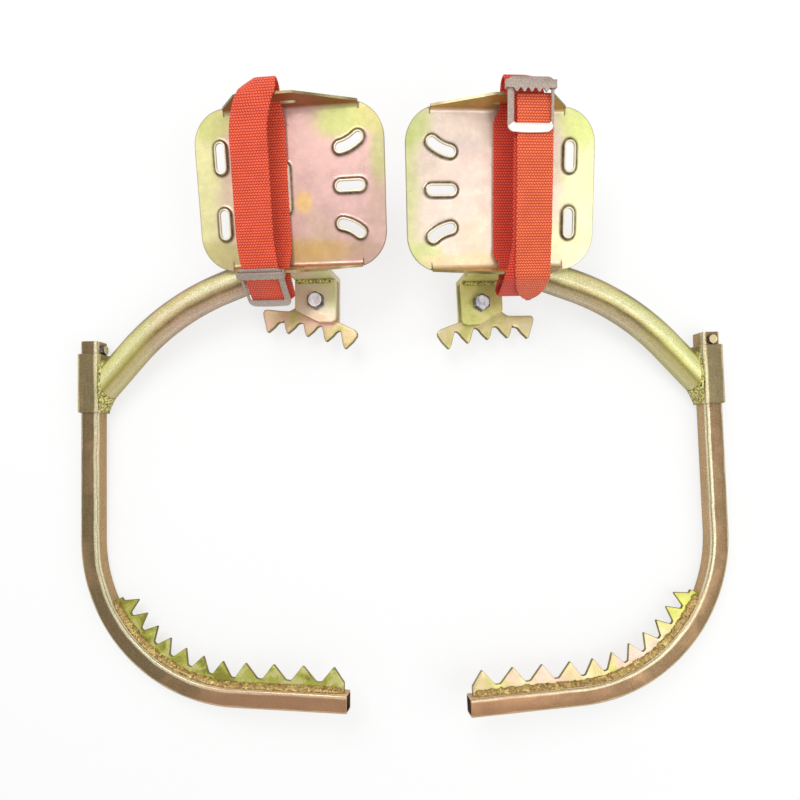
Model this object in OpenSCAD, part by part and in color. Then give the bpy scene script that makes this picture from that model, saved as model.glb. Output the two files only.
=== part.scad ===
// Pair of adjustable foot-clasp climbers for wooden poles, lying foot side up.
// Each climber is drawn in its own frame: the sleeve runs along Y from 0 upwards,
// the hook lies in the XY plane and +Z is the foot side. The right one is a mirror image.

/* [Pedal] */
// Length of the pedal plate, heel to toe
pedal_length = 188; // [170:1:200]
// Width of the pedal plate between its folded sides
pedal_width = 152; // [146:1:164]
// Sheet thickness of the pedal
pedal_thickness = 2.5; // [2:0.25:3.5]
// Corner radius of the pedal plate
pedal_corner = 34; // [26:1:38]
// Height of the folded sides, along their slope
flange_height = 27; // [24:0.5:32]
// How far the folded sides lean outwards, in degrees
flange_splay = 12; // [6:1:18]
// Tilt of the pedal towards the pole, in degrees
pedal_tilt = 11.5; // [9:0.5:14]
// Width of the open middle of a pressed slot
slot_width = 8.4; // [6:0.2:10]
// Length of the open middle of a pressed slot
slot_length = 27; // [22:1:32]
// Height to which the slot rims are pressed up
slot_lip = 2.4; // [1.5:0.1:3]

/* [Hook] */
// Outside width of the square hook tube
hook_tube = 20; // [19:0.5:20.5]
// Wall of the hook tube
hook_wall = 2; // [1.5:0.25:3]
// Outer corner radius of the hook tube
hook_corner = 3; // [2.5:0.25:4]
// Straight leg of the hook below the sleeve
leg_length = 135; // [125:1:160]
// Bend radius of the hook at the tube centre
bend_radius = 160; // [150:1:180]
// Straight end of the hook after the bend
tip_length = 119; // [110:1:140]
// How far the tube stands out above the sleeve at the widest setting
tube_proud = 13.5; // [12:0.5:20]

/* [Hook teeth] */
// Number of teeth on the hook strip
hook_teeth_count = 11; // [9:1:12]
// Thickness of the toothed strip
strip_thickness = 4; // [3:0.5:6]
// Height of the tooth tips above the tube's inner face
tooth_tip_height = 24.5; // [20:0.5:30]
// Height of the tooth roots above the tube's inner face
tooth_root_height = 8.5; // [6:0.5:12]
// Distance of the first tooth tip from the open end of the hook
first_tooth = 15; // [12:1:20]
// Spacing of the first two teeth
first_pitch = 32.5; // [28:0.5:34]
// How much the spacing shrinks from each tooth to the next
pitch_step = 1.2; // [0.6:0.1:1.4]
// Leg of the fillet weld along the strip
strip_weld = 5; // [3:0.5:7]

/* [Sleeve and arm] */
// Outside width of the square sleeve
sleeve_tube = 25; // [24.5:0.25:28]
// Clearance between hook tube and sleeve on each side
sleeve_gap = 0.5; // [0.3:0.1:0.8]
// Outer corner radius of the sleeve
sleeve_corner = 3.5; // [2.5:0.25:4]
// Length of the sleeve
sleeve_length = 62; // [54:1:80]
// Outside diameter of the arm tube
arm_diameter = 32; // [28:0.5:34]
// Wall of the arm tube
arm_wall = 2.5; // [2:0.25:4]
// Bend radius of the arm at its centre
arm_radius = 255; // [240:5:270]
// Angle of the arm where it meets the sleeve, from the X axis
arm_steep = 47; // [45:1:49]
// Angle of the arm under the pedal, from the X axis
arm_flat = 20; // [18:0.5:22]
// Leg of the weld bead between arm and sleeve
sleeve_weld = 5; // [3:0.5:7]

/* [Claw and bracket] */
// Distance of the claw bolt from the sleeve axis, across
bolt_x = 240; // [235:1:245]
// Distance of the claw bolt from the sleeve's lower end, along the sleeve
bolt_y = 117; // [115:1:119]
// Thread diameter of the claw bolt
bolt_diameter = 10; // [8:1:10]
// Width across flats of the claw bolt's head and nut
bolt_flats = 16; // [15:0.5:17]
// Height of the claw bolt's head
bolt_head = 6.4; // [5:0.2:7]
// Height of the claw bolt's nut
bolt_nut = 8.4; // [6:0.2:9]
// Plate thickness of the bracket
bracket_plate = 5; // [4:0.5:6]
// Open gap between the bracket's two legs
bracket_gap = 12; // [11:0.5:14]
// Plate thickness of the claw
claw_thickness = 6; // [5:0.5:8]
// Spacing of the claw's tooth tips
claw_pitch = 21.6; // [19:0.2:23]
// Depth of the claw's valleys
claw_depth = 13.4; // [10:0.2:15]
// Distance from the claw bolt to the middle tooth tip
claw_reach = 37.4; // [35:0.2:42]
// Radius of the hollow arc that the claw's tips follow
claw_arc = 215; // [150:5:300]
// Turn of the left claw at rest, in degrees
left_claw_turn = -12.6; // [-20:0.2:10]
// Turn of the right claw at rest, in degrees
right_claw_turn = -5.6; // [-20:0.2:10]

/* [Stop bolt] */
// Thread diameter of the stop bolt
stop_diameter = 6; // [5:0.5:6]
// Width across flats of the stop bolt's head and nut
stop_flats = 10; // [9:0.5:11]
// Height of the stop bolt's head
stop_head = 4; // [3:0.25:5]

/* [Strap] */
// Width of the webbing
strap_width = 37; // [32:1:38]
// Thickness of the webbing
strap_thickness = 2; // [1.4:0.1:2.4]
// Length of the strap slot in each folded side
strap_slot_length = 54; // [50:1:58]
// Height of the strap slot
strap_slot_height = 5; // [4:0.5:6]
// Height of the slot's middle above the fold, along the slope
strap_slot_rise = 11; // [10:0.5:13]
// Sideways place of the strap slot from the pedal's middle
strap_slot_place = -17.5; // [-19:0.5:-16]
// Width of the buckle frame
buckle_width = 50; // [48:1:54]
// Length of the buckle frame
buckle_length = 46; // [42:1:50]
// Sheet thickness of the buckle
buckle_sheet = 2; // [1.5:0.25:2.5]
// Number of points on the buckle's toothed bar
buckle_points = 5; // [3:1:8]

/* [Pair] */
// Distance of each climber's sleeve from the pair's middle
pair_half = 329; // [325:1:360]
// How far the right climber lies ahead of the left one
right_ahead = 12.2; // [0:0.2:30]
// Turn of the right climber on the floor, in degrees
right_turn = -3.3; // [-8:0.1:2]

/* [Hidden] */
$fn = 64;
eps = 0.01;
far = 400;

// Sleeve and hook
sleeve_bore = hook_tube + 2 * sleeve_gap;
hook_inner = hook_tube - 2 * hook_wall;
hook_inner_corner = max(hook_corner - hook_wall, 0.6);
tube_top = sleeve_length + tube_proud;
bend_x = bend_radius;
bend_y = -leg_length;
seat_gap = 0.3;
strap_rest = 0.3;

// Where two curved pieces of one solid join at a slant, one is thinner by this and runs in
join_slack = 0.02;
join_run = 1;

// Arm: two straight ends joined by one arc; it leaves the sleeve at half its height
arm_r = arm_diameter / 2;
arm_start = [sleeve_tube / 2, sleeve_length / 2 - 3];
arm_lower_run = 48;
arm_under_run = 124;
arm_bend_in = arm_start + arm_lower_run * [cos(arm_steep), sin(arm_steep)];
arm_centre = arm_bend_in + arm_radius * [sin(arm_steep), -cos(arm_steep)];
arm_bend_out = arm_centre + arm_radius * [-sin(arm_flat), cos(arm_flat)];

// Pedal frame: its middle on the top face, tilted about X
pedal_x = 231;
pedal_shift = -4;
pedal_clear = 1;
pedal_fold_y = bolt_y + 24;
pedal_y = pedal_fold_y + pedal_width / 2 * cos(pedal_tilt);
pedal_z = arm_r + pedal_clear + pedal_thickness + pedal_width / 2 * sin(pedal_tilt);
fold_in = 4;
fold_out = fold_in + pedal_thickness;
fold_lap = 1;
fold_relief = 1.5;
fold_steps = 8;
flange_near = -66;
flange_far = 66;
flange_top_near = -47;
flange_top_far = 9;
rim_half = slot_width / 2 + 5;
rim_lap = 0.2;
end_slots_x = -72;
end_slots_y = 31;
toe_slots_x = 56;
toe_slots_y = 39;
middle_slot_x = -9;
middle_slot_length = 45;
toe_slots_slant = 24;

// Bracket and claw bolt
leg_top = -arm_r;
gap_top = leg_top - bracket_plate;
gap_bottom = gap_top - bracket_gap;
leg_bottom = gap_bottom - bracket_plate;
washer_t = 1;
nut_bottom = leg_bottom - washer_t - bolt_nut;
bolt_end = nut_bottom - 1.5;
bolt_r = bolt_diameter / 2;
bolt_hole = bolt_r + 0.25;
claw_bore = bolt_r + 0.08;
spacer_r = bolt_r + 3.5;
bracket_left = -23;
bracket_right = 20.5;
bracket_low = -21.5;
web_y = pedal_fold_y - bolt_y - 2;
claw_mid = (gap_top + gap_bottom) / 2;
claw_top = claw_mid + claw_thickness / 2;
claw_middle_x = -4.2;

// Stop bolt: its head rests on the sleeve's top end, its nut sits inside the tube
stop_y = sleeve_length + stop_flats / 2 + seat_gap;
stop_nut = 5;
stop_spare = 1.5;

// Lying pose: the sleeve, the hook and the claw bolt's end touch the floor
drop = (sleeve_tube - hook_tube) / 2;
lay_pitch = atan(1.07 * drop / (leg_length + 10));
low_corner = sleeve_tube / 2 - sleeve_corner;
span_x = bolt_x - bolt_r + low_corner;
span_z = -bolt_end - bolt_y * tan(lay_pitch) - low_corner;
lean = atan2(span_z, span_x) - asin(sleeve_corner / norm([span_x, span_z]));
lift = low_corner * (sin(lean) + cos(lean)) + sleeve_corner;
pair_x = -2.6;
pair_y = 1.8;

// Puts a climber drawn in its own frame on the floor
module lie_down(turn) {
    translate([-pair_half, pair_y, lift])
        rotate([0, 0, turn])
            rotate([lay_pitch, 0, 0])
                rotate([0, -lean, 0])
                    children();
}

module left_place() {
    translate([pair_x, 0, 0]) lie_down(0) children();
}

module right_place() {
    translate([pair_x, right_ahead, 0]) mirror([1, 0, 0]) lie_down(right_turn) children();
}

// The pedal's own frame: origin in the middle of its top face
module on_pedal() {
    translate([pedal_x, pedal_y, pedal_z])
        rotate([pedal_tilt, 0, 0])
            children();
}

module rounded_rect(w, h, r) {
    square([w - 2 * r, h], center = true);
    square([w, h - 2 * r], center = true);
    for (x = [-1, 1], y = [-1, 1])
        translate([x * (w / 2 - r), y * (h / 2 - r)]) circle(r);
}

module square_tube_section(w, r, bore, bore_r) {
    difference() {
        rounded_rect(w, w, r);
        rounded_rect(bore, bore, bore_r);
    }
}

module hexagon_prism(flats, h) {
    cylinder(r = flats / sqrt(3), h = h, $fn = 6);
}

// Straight stadium outline along X
module stadium(length, half) {
    square([length - 2 * half, 2 * half], center = true);
    for (x = [-1, 1]) translate([x * (length / 2 - half), 0]) circle(half);
}

// Section of a slot rim pressed upwards, measured from the slot's centre line
function rim_section() = let (h = slot_width / 2, up = slot_lip, t = pedal_thickness) [
    [rim_half + rim_lap, -t], [rim_half + rim_lap, 0], [rim_half - 1.6, 0.22 * up],
    [h + 2.2, 0.85 * up], [h + 1.4, up], [h + 0.3, up], [h, up - 0.4],
    [h, up - 0.8 * t], [h + 1, up - t - 0.2], [rim_half - 2, -t]
];

// Pressed slot: rim swept round a straight stadium whose centre line has this length
module rim_straight(run) {
    for (s = [0, 180]) rotate([0, 0, s]) {
        translate([run / 2, 0, 0])
            rotate([0, 0, -90]) rotate_extrude(angle = 180) polygon(rim_section());
        translate([run / 2, 0, 0])
            rotate([90, 0, -90]) linear_extrude(run) polygon(rim_section());
    }
}

module slot_cut(run) {
    translate([0, 0, -2 * pedal_thickness])
        linear_extrude(4 * pedal_thickness) stadium(run + 2 * rim_half, rim_half);
}

// Places of the pedal's pressed slots
module at_end_slots() {
    for (y = [-1, 1]) translate([end_slots_x, y * end_slots_y, 0]) rotate([0, 0, 90]) children();
}

module at_toe_slots() {
    translate([toe_slots_x, 0, 0]) children();
    for (side = [0, 1]) mirror([0, side, 0])
        translate([toe_slots_x, toe_slots_y, 0]) rotate([0, 0, toe_slots_slant]) children();
}

slot_run = slot_length - slot_width;
middle_run = middle_slot_length - slot_width;

// Folded side: a flat lead-in, a curved fold and a sloped wall, as one outline
function fold_arc(r, from, to) = [for (k = [0:fold_steps])
    let (a = from + (to - from) * k / fold_steps) [r * cos(a), r * sin(a)]];

module flange_section() {
    wall = (flange_height - fold_in) * [sin(flange_splay), cos(flange_splay)];
    outer = fold_arc(fold_out, -90, -flange_splay);
    inner = fold_arc(fold_in, -flange_splay, -90);
    translate([pedal_width / 2 - fold_out, fold_in])
        polygon(concat([[-2 * fold_lap, -fold_out]], outer, [outer[fold_steps] + wall],
                       [inner[0] + wall], inner, [[-2 * fold_lap, -fold_in]]));
}

module flange() {
    top = flange_height + 2;
    low = -pedal_thickness - 1;
    difference() {
        intersection() {
            translate([flange_near, 0, 0])
                rotate([90, 0, 90]) linear_extrude(flange_far - flange_near) flange_section();
            translate([0, far, 0]) rotate([90, 0, 0]) linear_extrude(far)
                polygon([[flange_near, low], [flange_far, low], [flange_far, fold_in],
                         [flange_top_far, top - 3], [flange_top_far - 6, top],
                         [flange_top_near + 6, top], [flange_top_near, top - 3],
                         [flange_near, fold_in]]);
        }
        slot_on_flange() linear_extrude(6 * pedal_thickness, center = true)
            rounded_rect(strap_slot_length, strap_slot_height, strap_slot_height / 2 - 0.1);
    }
}

// The frame of the strap slot: X along the flange, Y up its slope, Z through the sheet
module slot_on_flange() {
    translate([strap_slot_place, pedal_width / 2 - fold_out, fold_in])
        rotate([-flange_splay, 0, 0])
            translate([0, fold_in + pedal_thickness / 2, strap_slot_rise - fold_in])
                rotate([90, 0, 0])
                    children();
}

module pedal_plate() {
    difference() {
        translate([pedal_shift, 0, -pedal_thickness])
            linear_extrude(pedal_thickness) difference() {
                rounded_rect(pedal_length, pedal_width, pedal_corner);
                for (y = [-1, 1]) translate([-pedal_shift + (flange_near + flange_far) / 2,
                                             y * (pedal_width / 2)])
                    square([flange_far - flange_near + 2 * fold_relief,
                            2 * (fold_out + fold_lap)], center = true);
            }
        at_end_slots() slot_cut(slot_run);
        at_toe_slots() slot_cut(slot_run);
        translate([middle_slot_x, 0, 0]) rotate([0, 0, 90]) slot_cut(middle_run);
    }
}

module pedal() {
    color([0.86, 0.76, 0.62]) on_pedal() union() {
        pedal_plate();
        at_end_slots() rim_straight(slot_run);
        at_toe_slots() rim_straight(slot_run);
        translate([middle_slot_x, 0, 0]) rotate([0, 0, 90]) rim_straight(middle_run);
        flange();
        mirror([0, 1, 0]) flange();
    }
}

// Arm tube: a ring section along straight, arc and straight
module arm_straight(from, heading, run, r) {
    translate([from[0], from[1], 0]) rotate([0, 0, heading]) rotate([0, 90, 0])
        cylinder(r = r, h = run);
}

// slack is positive for the outside and negative for the bore
module arm_form(r, spare, slack) {
    turn = arm_steep - arm_flat;
    translate([arm_centre[0], arm_centre[1], 0]) rotate([0, 0, 90 + arm_flat]) {
        rotate_extrude(angle = turn) translate([arm_radius, 0]) circle(r);
        translate([arm_radius, 0, 0]) rotate([90, 0, 0]) cylinder(r = r, h = arm_under_run + spare);
        rotate([0, 0, turn]) translate([arm_radius, -join_run, 0]) rotate([-90, 0, 0])
            cylinder(r = r - slack, h = join_run + arm_lower_run + 40 + spare);
    }
}

module arm_tube() {
    color([0.78, 0.72, 0.42]) difference() {
        arm_form(arm_r, 0, join_slack);
        arm_form(arm_r - arm_wall, 5, -join_slack);
        translate([-far + sleeve_tube / 2, -far / 2, -far / 2]) cube([far, far, far]);
    }
}

module sleeve() {
    color([0.74, 0.66, 0.42])
        translate([0, sleeve_length, 0]) rotate([90, 0, 0])
            linear_extrude(sleeve_length)
                square_tube_section(sleeve_tube, sleeve_corner, sleeve_bore, 1.2);
}

// Weld bead round the arm's end against the sleeve
module sleeve_bead() {
    color([0.62, 0.52, 0.36]) difference() {
        intersection() {
            arm_straight(arm_bend_in, arm_steep + 180, far, arm_r + sleeve_weld);
            translate([sleeve_tube / 2, 0, -low_corner - 2])
                cube([sleeve_weld, sleeve_length, 2 * low_corner + 4]);
        }
        arm_straight(arm_bend_in + [cos(arm_steep), sin(arm_steep)], arm_steep + 180, far, arm_r);
    }
}

// The space under the pedal's lower face, for cutting what stands against it
module above_pedal() {
    on_pedal() translate([-far, -far, -pedal_thickness]) cube([2 * far, 2 * far, far]);
}

// Two long beads between the arm's crest and the pedal
module pedal_beads() {
    start = 36;
    run = 62;
    color([0.62, 0.52, 0.36]) difference() {
        translate([arm_bend_out[0], arm_bend_out[1], 0]) rotate([0, 0, arm_flat])
            for (side = [-1, 1])
                translate([start, side * 7.5 - 3.5, 0]) cube([run, 7, 2 * arm_r]);
        arm_straight(arm_bend_out, arm_flat, far, arm_r);
        above_pedal();
        translate([bolt_x + bracket_left - seat_gap, bolt_y + web_y - seat_gap, -far / 2])
            cube([far, bracket_plate + 2 * seat_gap, far]);
    }
}

// Bracket leg outline, measured from the claw bolt
module leg_outline() {
    polygon([[bracket_left, web_y + bracket_plate], [bracket_left, -7],
             [bracket_left + 1.5, -9.5], [2, bracket_low], [bracket_right - 5, bracket_low - 0.5],
             [bracket_right - 1, bracket_low + 1.5], [bracket_right, bracket_low + 4.5],
             [bracket_right, web_y + bracket_plate]]);
}

module claw_bracket() {
    web_top = arm_r + 3;
    color([0.80, 0.76, 0.52]) difference() {
        translate([bolt_x, bolt_y, 0]) {
            for (z = [gap_top, leg_bottom]) translate([0, 0, z])
                linear_extrude(bracket_plate) leg_outline();
            translate([bracket_left, web_y, leg_bottom])
                cube([bracket_right - bracket_left, bracket_plate, web_top - leg_bottom]);
        }
        translate([bolt_x, bolt_y, leg_bottom - 1])
            cylinder(r = bolt_hole, h = leg_top - leg_bottom + 2);
        arm_straight(arm_bend_out, arm_flat, far, arm_r);
        above_pedal();
        on_pedal() rotate([90, 0, 90]) linear_extrude(far, center = true)
            translate([-pedal_width / 2 + fold_out, fold_in])
                intersection() {
                    circle(fold_out + 0.1);
                    translate([-far, -far]) square([far, far]);
                }
    }
}

// Bead in the corner between the bracket's upper leg and its web, and one along the arm
module bracket_bead() {
    bead = 4;
    color([0.62, 0.52, 0.36]) {
        translate([bolt_x + bracket_left + 1, bolt_y + web_y, leg_top])
            rotate([90, 0, 90]) linear_extrude(bracket_right - bracket_left - 2)
                polygon([[0, 0], [-bead, 0], [0, bead]]);
        difference() {
            translate([bolt_x + bracket_left + 1, bolt_y + web_y + bracket_plate, arm_r - 13])
                cube([bracket_right - bracket_left - 2, 7, 5]);
            arm_straight(arm_bend_out, arm_flat, far, arm_r);
        }
    }
}

// Claw outline: five hooked teeth whose tips follow a hollow arc; bolt at the origin
function claw_tip(i) = let (x = (i - 2) * claw_pitch)
    [claw_middle_x + x, -claw_reach - claw_arc + sqrt(claw_arc * claw_arc - x * x)];
function claw_valley(i) = let (t = claw_tip(i), n = claw_tip(i + 1), d = claw_depth)
    [t + [0.28 * claw_pitch, 0.52 * d], t + [0.40 * claw_pitch, 0.86 * d],
     t + [0.50 * claw_pitch, 1.00 * d], t + [0.60 * claw_pitch, 1.02 * d],
     n + [-0.31 * claw_pitch, 0.90 * d], n + [-0.25 * claw_pitch, 0.68 * d],
     n + [-0.17 * claw_pitch, 0.36 * d]];
function claw_tooth_tip(i) = let (t = claw_tip(i)) [t + [-1.1, 0.5], t + [0, -0.1], t + [1.0, 0.6]];

module claw_outline() {
    first = claw_tip(0);
    last = claw_tip(4);
    teeth = [for (i = [0:4]) each concat(claw_tooth_tip(i), i < 4 ? claw_valley(i) : [])];
    polygon(concat(
        [first + [-3.2, 5], first + [-8, 15], first + [-9.6, 19.5], first + [-8.6, 22.6],
         first + [-6, 23.8], first + [8, 25.2], first + [18, 26.6], first + [22.4, 29.8],
         [-spacer_r - 7, 2], [-10, 12], [-4, 16], [4, 16], [10, 12], [15, 4]],
        [last + [-18, 27], last + [6, 21.4], last + [9, 19.2], last + [10, 15.5],
         last + [6.6, 8.2]],
        [for (k = [len(teeth) - 1:-1:0]) teeth[k]]));
}

module claw(turn) {
    color([0.80, 0.74, 0.46])
        translate([bolt_x, bolt_y, claw_mid]) rotate([0, 0, turn])
            linear_extrude(claw_thickness, center = true) difference() {
                claw_outline();
                circle(claw_bore);
            }
}

module claw_bolt() {
    color([0.80, 0.80, 0.80]) translate([bolt_x, bolt_y, 0]) {
        translate([0, 0, leg_top]) hexagon_prism(bolt_flats, bolt_head);
        translate([0, 0, bolt_end]) cylinder(r = bolt_r, h = leg_top - bolt_end + eps);
    }
}

module claw_nut() {
    color([0.78, 0.78, 0.78]) translate([bolt_x, bolt_y, 0]) difference() {
        union() {
            translate([0, 0, nut_bottom]) hexagon_prism(bolt_flats, bolt_nut);
            translate([0, 0, leg_bottom - washer_t]) cylinder(r = bolt_diameter, h = washer_t);
        }
        translate([0, 0, nut_bottom - 1]) cylinder(r = bolt_r, h = bolt_nut + washer_t + 2);
    }
}

// Spacer rings on both sides of the claw
module claw_spacers() {
    side_gap = 0.3;
    t = (bracket_gap - claw_thickness) / 2 - side_gap;
    color([0.70, 0.68, 0.62]) translate([bolt_x, bolt_y, 0])
        for (z = [gap_top - t, gap_bottom]) translate([0, 0, z]) difference() {
            cylinder(r = spacer_r, h = t);
            translate([0, 0, -1]) cylinder(r = bolt_r + 0.05, h = t + 2);
        }
}

// Solid form of the hook, for the tube and for cutting the strip to it
module hook_form(straight_from) {
    translate([0, straight_from, 0]) rotate([90, 0, 0])
        linear_extrude(straight_from + leg_length) children();
    translate([bend_x, bend_y, 0]) rotate([0, 0, 180])
        rotate_extrude(angle = 90) translate([bend_radius, 0]) children();
    translate([bend_x, bend_y - bend_radius, 0]) rotate([90, 0, 90])
        linear_extrude(tip_length) children();
}

// side is "in" when the stop bolt runs across the hook plane's X, "up" when it runs along Z
module stop_axis(side) {
    translate([0, stop_y, 0]) rotate(side == "in" ? [0, 90, 0] : [0, 0, 0]) children();
}

module hook_tube_part(side) {
    color([0.66, 0.52, 0.34]) difference() {
        hook_form(tube_top)
            square_tube_section(hook_tube, hook_corner, hook_inner, hook_inner_corner);
        stop_axis(side) cylinder(r = stop_diameter / 2 + 0.2, h = hook_tube);
    }
}

// A point beside the hook: s back from its open end along the centre line, h inwards
function hook_point(s, h) = let (turn = (s - tip_length) / bend_radius * 180 / PI)
    s <= tip_length
        ? [bend_x + tip_length - s, bend_y - bend_radius + h]
        : [bend_x - (bend_radius - h) * sin(turn), bend_y - (bend_radius - h) * cos(turn)];
function tooth_place(i) = first_tooth + first_pitch * i - pitch_step * i * (i - 1) / 2;
function tooth_gap(i) = first_pitch - pitch_step * i;

tip_h = hook_tube / 2 + tooth_tip_height;
root_h = hook_tube / 2 + tooth_root_height;
base_h = hook_tube / 2 - 1;
strip_start = 4;
strip_end = tooth_place(hook_teeth_count - 1) + 0.62 * tooth_gap(hook_teeth_count - 1);

module strip_outline() {
    steps = 48;
    teeth = [for (i = [0:hook_teeth_count - 1]) let (s = tooth_place(i), g = tooth_gap(i))
        each [hook_point(s - 0.46 * g, root_h + 0.8), hook_point(s - 0.42 * g, root_h + 1.6),
              hook_point(s - 1, tip_h - 0.4), hook_point(s, tip_h), hook_point(s + 1, tip_h - 0.4),
              hook_point(s + 0.38 * g, root_h + 1.6), hook_point(s + 0.43 * g, root_h + 0.5)]];
    base = [for (k = [0:steps]) hook_point(strip_end - (strip_end - strip_start) * k / steps, base_h)];
    polygon(concat([hook_point(strip_start, root_h - 2)], teeth,
                   [hook_point(strip_end, root_h)], base));
}

module hook_teeth() {
    color([0.78, 0.76, 0.46]) difference() {
        linear_extrude(strip_thickness, center = true) strip_outline();
        hook_form(0) rounded_rect(hook_tube, hook_tube, hook_corner);
    }
}

// Fillet welds along both sides of the strip
module bead_section() {
    h = hook_tube / 2;
    for (side = [-1, 1])
        polygon([[h, side * strip_thickness / 2], [h + strip_weld, side * strip_thickness / 2],
                 [h, side * (strip_thickness / 2 + strip_weld)]]);
}

module hook_bead() {
    straight = tip_length - strip_start;
    sweep = (strip_end - tip_length) / bend_radius * 180 / PI;
    color([0.55, 0.42, 0.30]) {
        translate([bend_x, bend_y - bend_radius, 0]) rotate([90, 0, 90])
            linear_extrude(straight) bead_section();
        translate([bend_x, bend_y, 0]) rotate([0, 0, 270 - sweep])
            rotate_extrude(angle = sweep) translate([bend_radius, 0]) mirror([1, 0]) bead_section();
    }
}

module stop_bolt(side) {
    shank = hook_wall + stop_nut + stop_spare;
    color([0.80, 0.80, 0.80]) stop_axis(side) translate([0, 0, hook_tube / 2]) {
        hexagon_prism(stop_flats, stop_head);
        translate([0, 0, -shank]) cylinder(r = stop_diameter / 2, h = shank + eps);
    }
}

module stop_nut_part(side) {
    color([0.78, 0.78, 0.78]) stop_axis(side)
        translate([0, 0, hook_inner / 2 - stop_nut]) difference() {
            hexagon_prism(stop_flats, stop_nut);
            translate([0, 0, -1]) cylinder(r = stop_diameter / 2, h = stop_nut + 2);
        }
}

// Webbing: a path in the pedal's YZ plane, thickened and drawn out along X
function unit(v) = v / norm(v);
function side_of(p, i) = let (
        a = p[max(i - 1, 0)], b = p[min(i + 1, len(p) - 1)], d = unit(b - a))
    [-d[1], d[0]];
function ribbon(p, t) = concat(
    [for (i = [0:len(p) - 1]) p[i] + side_of(p, i) * t / 2],
    [for (i = [len(p) - 1:-1:0]) p[i] - side_of(p, i) * t / 2]);

module band(path, middle, width) {
    translate([middle - width / 2, 0, 0]) rotate([90, 0, 90])
        linear_extrude(width) polygon(ribbon(path, strap_thickness));
}

// The slot's place in the folded side, in the pedal's YZ plane
slot_y = pedal_width / 2 - fold_out + (fold_in + pedal_thickness / 2) * cos(flange_splay)
    + (strap_slot_rise - fold_in) * sin(flange_splay);
slot_z = fold_in - (fold_in + pedal_thickness / 2) * sin(flange_splay)
    + (strap_slot_rise - fold_in) * cos(flange_splay);
flange_lip_y = slot_y + (flange_height - strap_slot_rise) * sin(flange_splay);
flange_lip_z = slot_z + (flange_height - strap_slot_rise) * cos(flange_splay);
over_z = flange_lip_z + strap_thickness / 2 + strap_rest;
low_z = slot_lip + strap_thickness / 2 + strap_rest;

function flipped(p) = [for (q = p) [-q[0], q[1]]];

// Lower layer: lies on the plate between the slots and rises to them
lower_run = concat(
    [[-slot_y, slot_z], [-slot_y + 6, slot_z - 1.5], [-slot_y + 15, low_z + 1.6],
     [-slot_y + 24, low_z]],
    [[slot_y - 24, low_z], [slot_y - 15, low_z + 1.6], [slot_y - 6, slot_z - 1.5],
     [slot_y, slot_z]]);

// Loop outside a folded side: out of the slot, round and over its lip
function tight_loop(out) = [[slot_y, slot_z], [slot_y + 6, slot_z + 1],
    [flange_lip_y + out - 3.5, slot_z + 4], [flange_lip_y + out, slot_z + 10],
    [flange_lip_y + out - 0.5, flange_lip_z - 3], [flange_lip_y + out - 4, over_z - 2.2],
    [flange_lip_y + 3, over_z - 0.2], [flange_lip_y - 3, over_z + 0.3],
    [flange_lip_y - 8, over_z + 0.6]];

// Loop that hangs down outside a folded side: its underside, then its upper run
hang_down = 25;
function loop_end(out) = [flange_lip_y + out, flange_lip_z - hang_down + 5];
loop_start = [flange_lip_y + 7.5, over_z - 5];
function hanging_under(out) = [[slot_y, slot_z], [slot_y + 7, slot_z - 2],
    [flange_lip_y + out - 8, flange_lip_z - hang_down - 2],
    [flange_lip_y + out - 3, flange_lip_z - hang_down - 3.5],
    [flange_lip_y + out + 1, flange_lip_z - hang_down], loop_end(out)];
function hanging_over(out) = [loop_end(out) + [1, -5], loop_end(out), loop_start,
    [flange_lip_y + 2, over_z + 0.05], [flange_lip_y - 3, over_z + 0.3],
    [flange_lip_y - 8, over_z + 0.6]];
upper_end = flange_lip_y - 7.5;
upper_run = [[-upper_end, over_z + 0.6], [-40, over_z + 2], [0, over_z + 2.6], [40, over_z + 2],
    [upper_end, over_z + 0.6]];

left_lower_x = -23;
left_upper_x = -33;
left_loop_x = -24;
left_hang_x = -29;
left_hang_out = 25;
left_far_out = 14;
right_lower_x = -11;
right_upper_x = -25;
right_loop_x = -17;
right_hang_x = -18;
right_hang_out = 19;
right_far_out = 16;

module strap(lower_x, upper_x, loop_x, hang_x, hang_out, far_out) {
    color([0.92, 0.27, 0.17]) on_pedal() union() {
        band(lower_run, lower_x, strap_width);
        band(tight_loop(far_out), loop_x, strap_width);
        band(flipped(hanging_under(hang_out)), loop_x, strap_width);
        band(flipped(hanging_over(hang_out)), hang_x, strap_width);
        band(upper_run, upper_x, strap_width);
    }
}

// Buckle frame in its own plane: X across the strap, Y along it, Z off the webbing
bar_w = 7;
window = buckle_width - 2 * bar_w + 1;
buckle_inner = buckle_length - 2 * bar_w;
buckle_gap = 0.3;
wrap_t = 1.2;
wrap_in = 4;
buckle_lift = 0.3;

module buckle_frame_form() {
    linear_extrude(buckle_sheet) difference() {
        rounded_rect(buckle_width, buckle_length, 6);
        rounded_rect(window, buckle_inner, 2);
    }
}

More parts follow.
